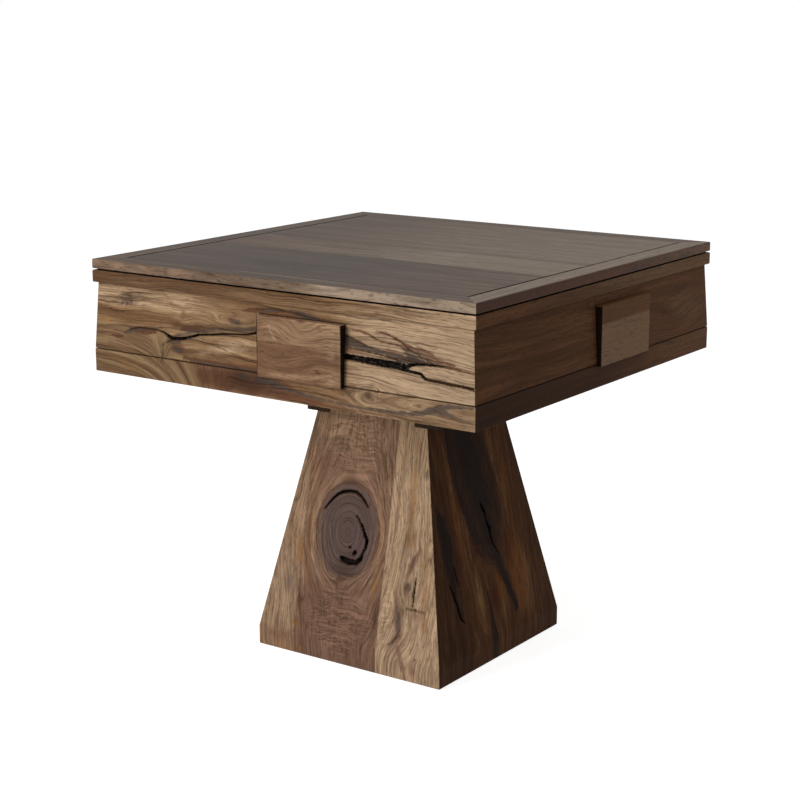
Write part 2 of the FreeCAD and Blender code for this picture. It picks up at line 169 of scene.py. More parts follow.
def waver(a: Array, b: Array, period: float, phase: float) -> Array:
    """Smooth irregular waves between -1 and 1, for edges that no tool has cut.

    Args:
        a: First coordinate.
        b: Second coordinate.
        period: Length of one wave.
        phase: Shifts the waves, so that two uses differ.

    Returns:
        The wave's height at each place.
    """
    x = a * (2 * math.pi / period)
    y = b * (2 * math.pi / period)
    # Odd ratios keep the three waves from repeating together.
    first = np.sin(x + phase + 1.7 * np.sin(0.53 * y + phase))
    second = np.sin(0.81 * y + 2.1 * phase + 1.3 * np.sin(0.71 * x - phase))
    third = np.sin(2.3 * x - 1.9 * y + 3.7 * phase)
    return (first + second + 0.6 * third) / 2.6


def spread(low: float, high: float, step: float, fine: Sequence[tuple[float, float]] = (),
           fine_step: float = 1.0) -> Array:
    """Places rows or columns of a mesh, closer together where there is fine detail.

    Args:
        low: First place.
        high: Last place.
        step: Usual distance.
        fine: Spans with fine detail.
        fine_step: Distance inside those spans.

    Returns:
        The places in rising order.
    """
    marks = [low]
    while marks[-1] < high - 1e-6:
        here = marks[-1]
        close = any(a <= here < b for a, b in fine)
        marks.append(min(here + (fine_step if close else step), high))
    # A row that comes too close to the last one is left out.
    if len(marks) > 2 and marks[-1] - marks[-2] < 0.3 * step:
        del marks[-2]
    return np.array(marks)


# -------- Wood figure: where the knots, streaks and cracks of a board lie --------
class Tone(IntEnum):
    """What a place on a board is marked with."""

    HEART = 0
    RUSSET = 1
    PALE = 2
    CRACK_AND_GAP_SHADE = 3
    RIPPLE = 4
    AMBER = 5
    LINE = 6
    WEAR_AND_HIGHLIGHT = 7
    SHADE = 8


HEART, RUSSET, PALE, CRACK_AND_GAP_SHADE, RIPPLE, AMBER, LINE, WEAR_AND_HIGHLIGHT, SHADE = Tone
TONE_SETS = ("tones_a", "tones_b", "tones_c")


@dataclass
class Field:
    """The figure of a board at a set of places, in millimetres."""

    u: Array
    v: Array
    across: Array
    along: Array
    through: Array
    tones: Array
    depth: Array
    upright: bool = False

    def mark(self, tone: Tone, amount: Array) -> None:
        """Lays a tone over what is there, and keeps the stronger of the two."""
        self.tones[tone] = np.maximum(self.tones[tone], amount)


@dataclass(frozen=True)
class Patch:
    """Oval area of one tone with a soft edge."""

    tone: Tone
    u: float
    v: float
    half_length: float
    half_height: float
    amount: float = 1.0
    tilt: float = 0.0
    soft: float = 1.0
    ragged: float = 0.1

    def draw(self, field: Field) -> None:
        """Marks the oval on the field.

        Args:
            field: The figure so far.
        """
        turn = math.radians(self.tilt)
        du = field.u - self.u
        dv = field.v - self.v
        a = (du * math.cos(turn) + dv * math.sin(turn)) / self.half_length
        b = (dv * math.cos(turn) - du * math.sin(turn)) / self.half_height
        ragged = self.ragged * waver(field.u, field.v, 1.3 * self.half_height, self.u)
        field.mark(self.tone, self.amount * smooth((1 + ragged - np.hypot(a, b)) / self.soft))


@dataclass(frozen=True)
class Fade:
    """One tone over a whole width of board, which grows and fades along it."""

    tone: Tone
    low: float
    high: float
    stops: Sequence[tuple[float, float]]
    soft: float = 2.0

    def draw(self, field: Field) -> None:
        """Marks the band on the field; on an upright board it runs up and down.

        Args:
            field: The figure so far.
        """
        a, b = (field.v, field.u) if field.upright else (field.u, field.v)
        amount = np.interp(a, [s[0] for s in self.stops], [s[1] for s in self.stops])
        inside = np.minimum(b - self.low, self.high - b)
        field.mark(self.tone, amount * smooth(inside / self.soft + 0.5))


def inside_route(route: Route, u: Array, v: Array) -> Array:
    """Measures how far places lie inside a band along a route.

    Args:
        route: Points of the route, each with the band's full width there.
        u: First coordinate of the places.
        v: Second coordinate of the places.

    Returns:
        Millimetres inside the band's edge, negative outside.
    """
    best = np.full(u.shape, -1e6)
    for (u0, v0, w0), (u1, v1, w1) in zip(route, route[1:]):
        du, dv = u1 - u0, v1 - v0
        t = np.clip(((u - u0) * du + (v - v0) * dv) / max(du * du + dv * dv, 1e-9), 0.0, 1.0)
        gap = np.hypot(u - u0 - t * du, v - v0 - t * dv)
        best = np.maximum(best, 0.5 * (w0 + t * (w1 - w0)) - gap)
    return best


@dataclass(frozen=True)
class Vein:
    """Streak of one tone along a route."""

    tone: Tone
    route: Route
    amount: float = 1.0
    soft: float = 4.0

    def draw(self, field: Field) -> None:
        """Marks the streak on the field.

        Args:
            field: The figure so far.
        """
        period = max(14.0, 3.0 * self.soft)
        ragged = 0.2 * self.soft * waver(field.u, field.v, period, self.route[0][0])
        inside = inside_route(self.route, field.u, field.v) + ragged
        field.mark(self.tone, self.amount * smooth(inside / self.soft + 0.5))


def thread(amount: float, soft: float, *points: tuple[float, float], width: float = 2.0) -> Vein:
    """Draws a thin dark line that tapers at both ends.

    Args:
        amount: Strength.
        soft: Width of the soft edge.
        points: Route of the line.
        width: Full width away from the ends.

    Returns:
        The streak.
    """
    widths = [1.0, *[width] * (len(points) - 2), 1.0]
    return Vein(LINE, tuple((u, v, w) for (u, v), w in zip(points, widths)), amount, soft)


@dataclass(frozen=True)
class Split:
    """Open crack with steep ragged walls, cut into the mesh, in a browned strip of wood."""

    route: Route
    depth: float = 7.0
    wall: float = 1.3
    tone: Tone = CRACK_AND_GAP_SHADE
    ragged: float = 0.45
    halo: float = 0.5

    def draw(self, field: Field) -> None:
        """Marks the crack's dark inside and its depth.

        Args:
            field: The figure so far.
        """
        ragged = self.ragged * waver(field.u, field.v, 7.0, self.route[0][1])
        inside = inside_route(self.route, field.u + ragged, field.v + 0.8 * ragged)
        field.mark(self.tone, smooth(inside / self.wall + 0.62))
        field.mark(LINE, self.halo * smooth(inside / 5.0 + 1.0))
        field.depth = np.maximum(field.depth, self.depth * smooth(inside / self.wall + 0.5))


@dataclass(frozen=True)
class Knot:
    """Knot that the grain flows round, with its own rings inside."""

    u: float
    v: float
    half_length: float
    half_height: float
    heart: float = 0.8
    rings: float = 1.0
    rim: float = 0.6

    def draw(self, field: Field) -> None:
        """Bends the grain round the knot and darkens its inside.

        Args:
            field: The figure so far.
        """
        du = (field.u - self.u) / self.half_length
        dv = (field.v - self.v) / self.half_height
        away = np.hypot(du, dv) * (1 + 0.03 * waver(field.u, field.v, self.half_height, self.v))
        side = (field.u - self.u) if field.upright else (field.v - self.v)
        reach = self.half_length if field.upright else self.half_height
        outside = -side / np.maximum(away, 1.0) ** 2
        inside = -side + self.rings * reach * (1 - away)
        clear = smooth((away - 1.0) / 0.04 + 0.5)
        field.across = field.across + clear * outside + (1 - clear) * inside
        field.mark(HEART, self.heart * smooth((1.0 - away) / 0.16 + 0.4))
        field.mark(LINE, self.rim * smooth(1 - np.abs(away - 1.0) / 0.07))


@dataclass(frozen=True)
class Swirl:
    """Grain turned round a point, most at the middle and not at all at the rim."""

    u: float
    v: float
    half_length: float
    half_height: float
    turn: float

    def draw(self, field: Field) -> None:
        """Turns the grain's directions round the point.

        Args:
            field: The figure so far.
        """
        du = field.u - self.u
        dv = field.v - self.v
        near = smooth(1.0 - np.hypot(du / self.half_length, dv / self.half_height))
        angle = math.radians(self.turn) * near
        if field.upright:
            du, dv = dv, du
        field.along = field.along + (np.cos(angle) - 1) * du + np.sin(angle) * dv
        field.across = field.across + (np.cos(angle) - 1) * dv - np.sin(angle) * du


@dataclass(frozen=True)
class Bend:
    """Grain that falls away between two uprights, below a level."""

    left: float
    right: float
    top: float
    fade: float
    drop: float

    def draw(self, field: Field) -> None:
        """Shifts the grain lines down from left to right."""
        fall = smooth((field.u - self.left) / (self.right - self.left))
        field.across = field.across + self.drop * fall * smooth((self.top - field.v) / self.fade)


@dataclass(frozen=True)
class Fan:
    """Crotch grain that turns down ever more steeply to the right, between two levels."""

    steepest: float
    length: float
    drop: float
    right: float
    low: float
    top: float
    fade: float

    def draw(self, field: Field) -> None:
        """Shifts the grain lines down, by more the farther right they are.

        Args:
            field: The figure so far.
        """
        fall = self.drop * np.exp(np.minimum(field.u - self.steepest, 50.0) / self.length)
        inside = smooth((self.right - field.u) / 30.0) * smooth((self.fade - field.v) / 50.0)
        field.across = field.across + fall * inside * (field.v > self.low) * (field.v < self.top)


@dataclass(frozen=True)
class Loop:
    """Grain lines that close round the end of a lens, open to the right."""

    u: float
    v: float
    length: float
    half_height: float
    rise: float

    def draw(self, field: Field) -> None:
        """Lifts the grain lines into nested loops.

        Args:
            field: The figure so far.
        """
        hill = np.exp(-((field.v - self.v) / self.half_height) ** 2)
        start = smooth((field.u - self.u) / self.length)
        end = smooth((self.u + 3.0 * self.length - field.u) / self.length)
        field.across = field.across + self.rise * hill * start * end


Mark = Patch | Fade | Vein | Split | Knot | Swirl | Bend | Fan | Loop


@dataclass(frozen=True)
class Figure:
    """All marks of one board or one side of the table."""

    marks: tuple[Mark, ...] = ()
    joints: tuple[float, ...] = ()
    upright: bool = False
    seed: int = 0

    def read(self, u: Array, v: Array, through: Array) -> Field:
        """Works out the figure at a set of places.

        Args:
            u: Place along the board's face.
            v: Place up the board's face.
            through: Place into the board.

        Returns:
            Grain coordinates, tones and crack depth at each place.
        """
        across, along = (u, v) if self.upright else (v, u)
        field = Field(u, v, across.copy(), along.copy(), through + BOARD_SHIFT * self.seed,
                      np.zeros((len(Tone), len(u))), np.zeros(len(u)), self.upright)
        for number, place in enumerate(self.joints):
            field.through = field.through + np.where(u > place, STAVE_SHIFT * (number + 1), 0.0)
            field.mark(LINE, 0.5 * smooth(1 - np.abs(u - place) / 1.6))
        for mark in self.marks:
            mark.draw(field)
        return field


PLAIN = Figure()

# The front: a long open crack meets a crotch on the left, where the grain turns down. The right
# half is pale sapwood with a grey wedge above a wide crack. Drawer and lower rail share it.
ARC_SPLIT: Route = ((-326, 638, 1.2), (-318, 642, 2), (-303, 644.8, 2.4), (-262, 644.5, 2.4),
                    (-246, 642, 2.6))
MAIN_SPLIT: Route = ((-249, 643.2, 1.4), (-245, 641.5, 2.4), (-237, 637.5, 4.2),
                     (-226, 633, 5.8), (-207, 634.5, 5), (-192, 637.5, 4), (-176, 642.5, 3.6),
                     (-165, 646, 3), (-137, 649, 2.2), (-109, 653.5, 2), (-84, 656, 1.5),
                     (-54, 658.7, 1.6), (-33, 664, 2.6), (-20, 666, 2.2))
CROTCH_SPLIT: Route = ((-228, 630, 3), (-240, 624.5, 2), (-249, 618, 1))
WIDE_SPLIT: Route = ((140, 645.5, 9), (158, 645, 9), (185, 644.2, 9.5), (210, 643.2, 11.3),
                     (237, 642.4, 11.5), (263, 642.3, 12), (274, 641.2, 11), (281, 641.5, 8.5),
                     (286, 645.5, 5.2), (300, 648.6, 3.6), (322, 650.3, 2.6), (352, 650.8, 1.6))
LOWER_SPLIT: Route = ((268, 638, 6), (284, 635.9, 4.2), (308, 634.2, 4), (313, 630.4, 4),
                      (319, 627, 3.4))
BROWN_SPLIT: Route = ((317, 627.4, 3.4), (326, 626, 4), (345, 625.6, 4.2), (368, 623.8, 4),
                      (390, 623.6, 3.8), (413, 621.4, 4))

FRONT_FIGURE = Figure(seed=1, marks=(
    Fan(-160, 62, 165, -96, 0, 595.2, 900),
    Fan(-168, 60, 150, -228, 595.2, 900, 656),
    Bend(-5, 330, 600, 22, 26),
    Bend(150, 420, 760, 60, 10),
    Loop(-150, 679, 46, 9, 17),
    Loop(-232, 665, 40, 11, 8),
    Knot(205, 587, 20, 14, heart=0.3, rings=0.8, rim=0.45),
    # Broad colour: brown to the left and along both rails, pale sapwood to the right.
    Fade(SHADE, 716.5, 742, ((-415, 0.55), (-250, 0.5), (-60, 0.28), (120, 0.06), (300, 0))),
    Fade(RUSSET, 716.5, 742, ((-415, 0.5), (-100, 0.35), (100, 0.12), (250, 0))),
    Fade(PALE, 716.5, 742, ((0, 0), (120, 0.15), (415, 0.7))),
    Fade(SHADE, 500, 640, ((-415, 0.4), (-250, 0.45), (-170, 0.3), (-60, 0.1), (0, 0)), 50),
    Patch(SHADE, -408, 628, 40, 60, 0.34),
    Fade(PALE, 594, 716.8, ((100, 0), (200, 0.6), (300, 0.86), (415, 0.95)), 3),
    Fade(PALE, 552, 595, ((140, 0), (180, 0.35), (415, 0.35)), 4),
    Fade(PALE, 680, 716.8, ((-415, 0.55), (-200, 0.5), (-120, 0.1), (0, 0)), 16),
    Patch(PALE, -90, 633, 88, 20, 0.66, tilt=10),
    Patch(PALE, -152, 615, 44, 10, 0.4, tilt=9),
    Patch(AMBER, -388, 652, 34, 15, 0.45, tilt=-10),
    Patch(AMBER, -340, 574, 80, 16, 0.4, tilt=-14),
    Patch(AMBER, -300, 672, 70, 8, 0.3, tilt=4),
    # The crotch and the crack's surroundings.
    Patch(SHADE, -330, 640, 60, 18, 0.45),
    Patch(SHADE, -120, 700, 90, 22, 0.22),
    Vein(SHADE, ((-240, 648, 8), (-180, 656, 16), (-110, 664, 14), (-40, 674, 20)), 0.4, 10),
    Patch(RUSSET, -212, 618, 40, 17, 0.75, tilt=-24),
    Patch(HEART, -213, 614, 23, 9, 1.1, tilt=-16),
    Vein(HEART, ((-238, 629, 3), (-222, 627, 6), (-205, 629, 4)), 0.7, 5),
    Vein(PALE, ((-263, 628, 2), (-260, 616, 5), (-256, 604, 5), (-252, 597, 3)), 0.45, 5),
    thread(0.6, 3, (-252, 600), (-255, 612), (-250, 622), (-240, 627)),
    Vein(HEART, ((-246, 622, 4), (-250, 611, 7), (-250, 598, 7), (-247, 590, 4)), 0.5),
    thread(0.7, 3, (-245, 617), (-248, 608), (-247, 598), (-253, 588), (-243, 579), (-232, 567),
           (-223, 553), width=1.6),
    Vein(RUSSET, ((-206, 651, 4), (-190, 655, 9), (-168, 655, 9), (-148, 655, 4)), 0.9, 5),
    Vein(HEART, ((-204, 652, 3), (-188, 655, 5), (-166, 656, 3)), 0.55),
    Patch(RUSSET, -214, 661, 17, 16, 0.75, ragged=0.4),
    Patch(RUSSET, -199, 678, 14, 16, 0.6, ragged=0.3),
    Patch(PALE, -217, 667, 7, 6, 0.6, ragged=0.9),
    Vein(HEART, ((-236, 634, 4), (-210, 641, 7), (-170, 651, 6), (-120, 660, 6),
                 (-70, 666, 8)), 0.65, 7),
    Vein(RUSSET, ((-314, 636, 4), (-292, 637, 10), (-266, 640, 5)), 1, 5),
    Vein(HEART, ((-342, 631, 4), (-326, 637, 9), (-306, 643, 7), (-262, 645, 4)), 0.85, 6),
    Vein(RUSSET, ((-374, 624, 2), (-357, 623, 7), (-345, 624, 3)), 1.2),
    # Streaks of the left end.
    Patch(HEART, -334, 687, 36, 8.5, 0.9, ragged=0.3),
    thread(0.75, 2.4, (-356, 697), (-345, 694), (-332, 691), (-310, 690), width=1.6),
    thread(0.75, 2.4, (-402, 677), (-370, 672), (-340, 668)),
    thread(0.4, 3, (-408, 710), (-370, 704), (-330, 703), width=1.6),
    thread(0.5, 2.6, (-352, 661), (-318, 659), (-284, 664), (-258, 664), width=1.6),
    thread(0.72, 2.2, (-186, 637), (-160, 636), (-128, 632), (-100, 625), (-66, 618),
           (-30, 615), width=1.6),
    Vein(AMBER, ((-60, 612, 4), (-20, 608, 9)), 0.35, 7),
    # The eye beside the handle.
    Patch(RUSSET, -86, 679, 30, 10, 0.7, tilt=-6),
    Patch(HEART, -80, 678, 26, 7, 0.8, tilt=-6),
    Vein(HEART, ((-100, 662, 3), (-60, 666.5, 7), (-28, 672, 9)), 0.8, 6),
    Vein(RUSSET, ((-66, 699, 3), (-34, 703, 10), (0, 706, 9), (26, 707, 4)), 0.9, 5),
    Vein(HEART, ((-34, 704, 2), (-4, 706, 6), (24, 708, 3)), 0.8, 5),
    thread(0.7, 2.6, (-64, 702), (-44, 704), (-24, 705), (6, 711)),
    Vein(HEART, ((40, 710, 4), (62, 706, 9), (84, 702, 11), (108, 698, 5)), 0.85),
    Vein(RUSSET, ((0, 699, 5), (60, 701, 8), (120, 700, 6), (150, 697, 3)), 0.7, 5),
    # Dark heartwood below the handle, which runs out to the right in one long streak.
    Vein(RUSSET, ((-196, 603, 8), (-165, 599, 12), (-100, 598, 12), (-30, 600, 14)), 0.95, 9),
    Vein(HEART, ((-180, 600, 2), (-140, 597, 5), (-60, 596.5, 6), (-30, 597, 5)), 0.7, 5),
    Vein(RUSSET, ((-150, 574, 30), (-100, 574, 40), (-40, 575, 42), (0, 575, 36), (50, 566, 24),
                  (110, 558, 10)), 1, 22),
    Patch(SHADE, -62, 576, 110, 36, 0.85),
    Vein(HEART, ((-72, 588, 5), (-61, 586, 11), (-48, 583, 5)), 0.8, 6),
    # Painted shadow of the handle, laid over dark heartwood, below the handle's left end.
    Vein(HEART, ((-34, 582, 8), (-14, 583, 13), (18, 581, 8)), 0.9, 6),
    Vein(HEART, ((0, 578, 8), (40, 574, 7), (79, 569, 6), (118, 566, 5), (158, 564, 5),
                 (197, 563, 5), (250, 564.5, 6), (290, 566.5, 7), (316, 571.5, 9),
                 (331, 577.5, 13), (347, 583, 13), (368, 589, 8), (412, 591.5, 5)), 0.85, 7),
    Vein(HEART, ((330, 577, 10), (350, 577, 14), (375, 572, 6), (412, 566, 3)), 0.75, 6),
    Vein(RUSSET, ((55, 584, 3), (110, 575, 4), (165, 571, 3)), 0.6, 5),
    Vein(RUSSET, ((60, 560, 4), (150, 556, 6), (260, 557, 4)), 0.6, 6),
    Patch(RUSSET, 205, 587, 15, 10, 0.9),
    Patch(RUSSET, 212, 604, 17, 8, 0.45, tilt=24),
    # The grey wedge and the streaks that run down to the end of the wide crack.
    Vein(HEART, ((140, 673, 19), (158, 672.5, 17.5), (176, 669.5, 14), (197, 664.5, 9.5),
                 (222, 661, 6.5), (245, 660.5, 5), (266, 657, 6)), 1.1, 3),
    Vein(LINE, ((148, 682, 2), (165, 679, 2.6), (182, 673.5, 2.6), (200, 668, 2.4),
                (225, 664.5, 1.8), (246, 662.5, 1.4)), 0.85, 3),
    Vein(LINE, ((148, 663, 2), (190, 659.5, 2.4), (225, 656.5, 2.6), (262, 652.5, 3)), 0.85, 3),
    Vein(RUSSET, ((148, 655, 9), (200, 653.5, 6), (244, 651.5, 4)), 0.4),
    Vein(HEART, ((240, 658, 3), (262, 653.5, 8), (284, 653.5, 11), (304, 652.5, 7),
                 (336, 651, 4)), 1.3),
    Vein(LINE, ((262, 656, 1), (276, 654, 3), (296, 652.5, 3), (318, 652, 2.6), (340, 651, 2)),
         0.8, 3),
    Vein(LINE, ((262, 684, 1), (274, 679, 2), (281, 672.5, 3), (292, 669, 2.6), (301, 666.5, 2.4),
                (308, 661, 2.4), (314, 655.5, 2)), 0.85, 3),
    Vein(HEART, ((276, 664, 3), (292, 660, 9), (308, 655, 6)), 0.9, 5),
    Vein(RUSSET, ((232, 668, 3), (256, 664, 8), (272, 660, 6)), 0.6, 6),
    Vein(HEART, ((268, 673, 4), (283, 669, 10), (299, 663, 13), (317, 657.5, 10),
                 (335, 653.5, 6), (352, 651.5, 3)), 0.6, 5),
    Patch(SHADE, 294, 656, 38, 10, 0.62, tilt=-12),
    Patch(SHADE, 184, 671, 62, 9, 0.35, tilt=-9),
    Vein(LINE, ((316, 660, 1), (322, 657, 2.6), (332, 653.5, 2.4)), 0.9, 2.6),
    Vein(RUSSET, ((155, 692, 2), (175, 691, 3), (190, 690.5, 5), (203, 687.5, 5), (216, 682, 4),
                  (228, 678.5, 4), (252, 677, 4), (268, 675, 5), (282, 669, 6)), 0.75, 6),
    thread(0.75, 3.4, (160, 691.8), (184, 691.5), (203, 687.5), (217, 681.5), (229, 678),
           (252, 676.5), (272, 675.5)),
    Vein(RUSSET, ((219, 694, 3), (245, 690.5, 4), (263, 684.5, 6), (279, 676.5, 6),
                  (297, 672, 6), (312, 666, 8), (331, 658.5, 8), (352, 653, 7), (374, 650, 5),
                  (412, 646, 3)), 0.8, 7),
    Vein(LINE, ((219, 694, 1.6), (245, 690.5, 2.4), (263, 684.5, 2.4), (276, 678, 2.4)), 0.85, 3.4),
    thread(0.6, 3, (276, 681), (292, 676), (312, 675)),
    Vein(RUSSET, ((300, 676, 4), (322, 668, 9), (344, 659, 9), (372, 655, 6)), 0.8, 7),
    Vein(LINE, ((352, 651, 2), (380, 649.5, 1.6), (412, 646, 1.2)), 0.55, 2.4),
    Vein(PALE, ((156, 636.5, 2), (190, 636, 3), (232, 634.5, 2)), 1, 2),
    Split(MAIN_SPLIT, depth=6.5, ragged=0.6),
    Split(ARC_SPLIT, depth=1.5, tone=LINE, halo=0.3),
    Vein(LINE, CROTCH_SPLIT, 0.9, 3),
    Split(WIDE_SPLIT, depth=8, ragged=1.3, halo=0.35),
    Split(LOWER_SPLIT, depth=5, halo=0.4),
    Split(BROWN_SPLIT, depth=4, tone=LINE, halo=0.4),
    # Painted shade: a thin near-black line just above the handle block, in the gap behind its top.
    Vein(CRACK_AND_GAP_SHADE, ((-28, 698.6, 1.8), (158, 698.6, 1.8)), 0.85, 1.4),
))

# The right side: straighter, with one small knot by the handle, and darker, partly as painted
# shade.
RIGHT_FIGURE = Figure(seed=2, marks=(
    Swirl(330, 640, 150, 60, 26),
    Knot(-38, 700, 8, 4.5, heart=0.4),
    Patch(PALE, -36, 705, 9, 3.4, 0.9, soft=0.7),
    Fade(SHADE, 500, 596, ((-415, 0.95), (-150, 0.85), (0, 0.75), (130, 0.5), (190, 0)), 3),
    Fade(RUSSET, 500, 596, ((-415, 0.5), (-50, 0.4), (100, 0)), 3),
    Fade(PALE, 500, 596, ((150, 0), (240, 0.3), (415, 0.3)), 3),
    Fade(SHADE, 596, 717, ((-415, 0.3), (-60, 0.16), (160, 0), (415, 0.05)), 6),
    Fade(HEART, 716.5, 742, ((-415, 0.15), (-150, 0.3), (60, 0.3), (415, 0.1))),
    Fade(PALE, 716.5, 742, ((-415, 0), (-60, 0.35), (120, 0.9), (415, 1))),
    Patch(PALE, 320, 650, 120, 50, 0.5),
    Patch(AMBER, 100, 640, 200, 50, 0.3),
    Patch(RUSSET, -260, 620, 150, 50, 0.5, tilt=4),
    Patch(AMBER, 300, 575, 90, 14, 0.4),
    thread(0.6, 3, (170, 655), (230, 668), (300, 682), (370, 696), width=1.6),
    thread(0.55, 3, (-320, 686), (-220, 689), (-120, 697), (-40, 706), width=1.6),
    thread(0.45, 3, (-230, 664), (-160, 671), (-90, 676), width=1.6),
    Vein(SHADE, ((-400, 640, 8), (-250, 652, 14), (-80, 640, 24), (-20, 640, 30)), 0.3, 22),
))

BACK_SPLIT: Route = ((60, 640, 1.2), (110, 636, 3), (170, 638, 4), (230, 633, 2.6),
                     (300, 630, 1.4))
BACK_FIGURE = Figure(seed=3, marks=(
    Swirl(-60, 560, 130, 60, 48),
    Loop(-300, 668, 55, 11, 14),
    Knot(-150, 642, 20, 12, heart=0.5),
    Knot(322, 680, 9, 6, heart=0.6),
    Fade(SHADE, 716.5, 742, ((-415, 0.1), (0, 0.4), (415, 0.55))),
    Patch(PALE, -330, 610, 160, 40, 0.7),
    Patch(PALE, 330, 590, 140, 30, 0.7),
    Vein(HEART, ((30, 646, 3), (120, 645, 14), (210, 644, 12), (320, 634, 3)), 0.9, 6),
    Vein(RUSSET, ((-60, 600, 6), (60, 612, 14), (200, 606, 12), (350, 618, 5)), 0.8, 9),
    Vein(HEART, ((-240, 660, 2), (-190, 655, 8), (-168, 648, 5)), 0.8, 5),
    thread(0.5, 3, (-410, 690), (-300, 696), (-180, 690), (-90, 694), width=1.6),
    Vein(HEART, ((-400, 571, 4), (-280, 571, 8), (-150, 566, 5), (40, 572, 7),
                 (200, 566, 3)), 0.6, 6),
    Split(BACK_SPLIT, depth=5),
))

LEFT_SPLIT: Route = ((-330, 700, 1), (-290, 695, 2.2), (-240, 693, 2.6), (-205, 688, 1.2))
LEFT_FIGURE = Figure(seed=4, marks=(
    Swirl(120, 562, 120, 50, -44),
    Knot(-190, 612, 13, 9, heart=0.6),
    Knot(248, 576, 10, 7, heart=0.6),
    Loop(190, 660, 60, 12, 12),
    Fade(SHADE, 716.5, 742, ((-415, 0.3), (0, 0.1), (415, 0.5))),
    Patch(PALE, -60, 702, 220, 20, 0.6),
    Patch(PALE, 300, 620, 120, 30, 0.6),
    Patch(AMBER, -330, 640, 70, 26, 0.4),
    Vein(HEART, ((-400, 690, 6), (-290, 700, 10), (-200, 692, 4)), 0.8, 6),
    Vein(RUSSET, ((-380, 580, 8), (-200, 590, 16), (0, 580, 14), (180, 588, 8)), 0.8, 9),
    Vein(HEART, ((200, 664, 3), (270, 668, 10), (380, 672, 6)), 0.7, 7),
    Split(LEFT_SPLIT, depth=4),
))

# Pedestal front: a middle stave with one large knot between two plainer staves. The knot has an
# open arc above, a crack on its right and a hole below.
KNOT_ARC: Route = ((-83, 283, 1.2), (-75, 294, 2), (-66, 304.5, 2.8), (-56, 314, 3.6),
                   (-45, 319.5, 4.4), (-30, 323, 4.6), (-15, 323.5, 4.4), (-3, 317.5, 4),
                   (7, 309, 3.2), (14.5, 301, 1.8))
KNOT_CRACK: Route = ((-9, 281, 0.8), (-2.5, 275, 2), (7, 262.5, 4), (14, 250, 5.5),
                     (20, 239.5, 7), (20, 228, 4.6), (15.5, 219, 2.6), (13, 212, 3),
                     (11, 204, 7), (1, 195.5, 8.5), (-15, 194, 12), (-27, 196.5, 11),
                     (-33, 199, 7))
KNOT_HOLE: Route = ((-6, 210.5, 5), (-3, 214.5, 6))
KNOT_DOT: Route = ((-17, 221, 3.2), (-14.5, 221.5, 3.2))
STAVE_CHECK: Route = ((137.5, 191, 1.4), (137, 165, 2.2), (137.5, 141, 1.2))
STAVE_CROSS: Route = ((124, 134, 1.2), (140, 134.5, 2.4), (163, 134, 1))

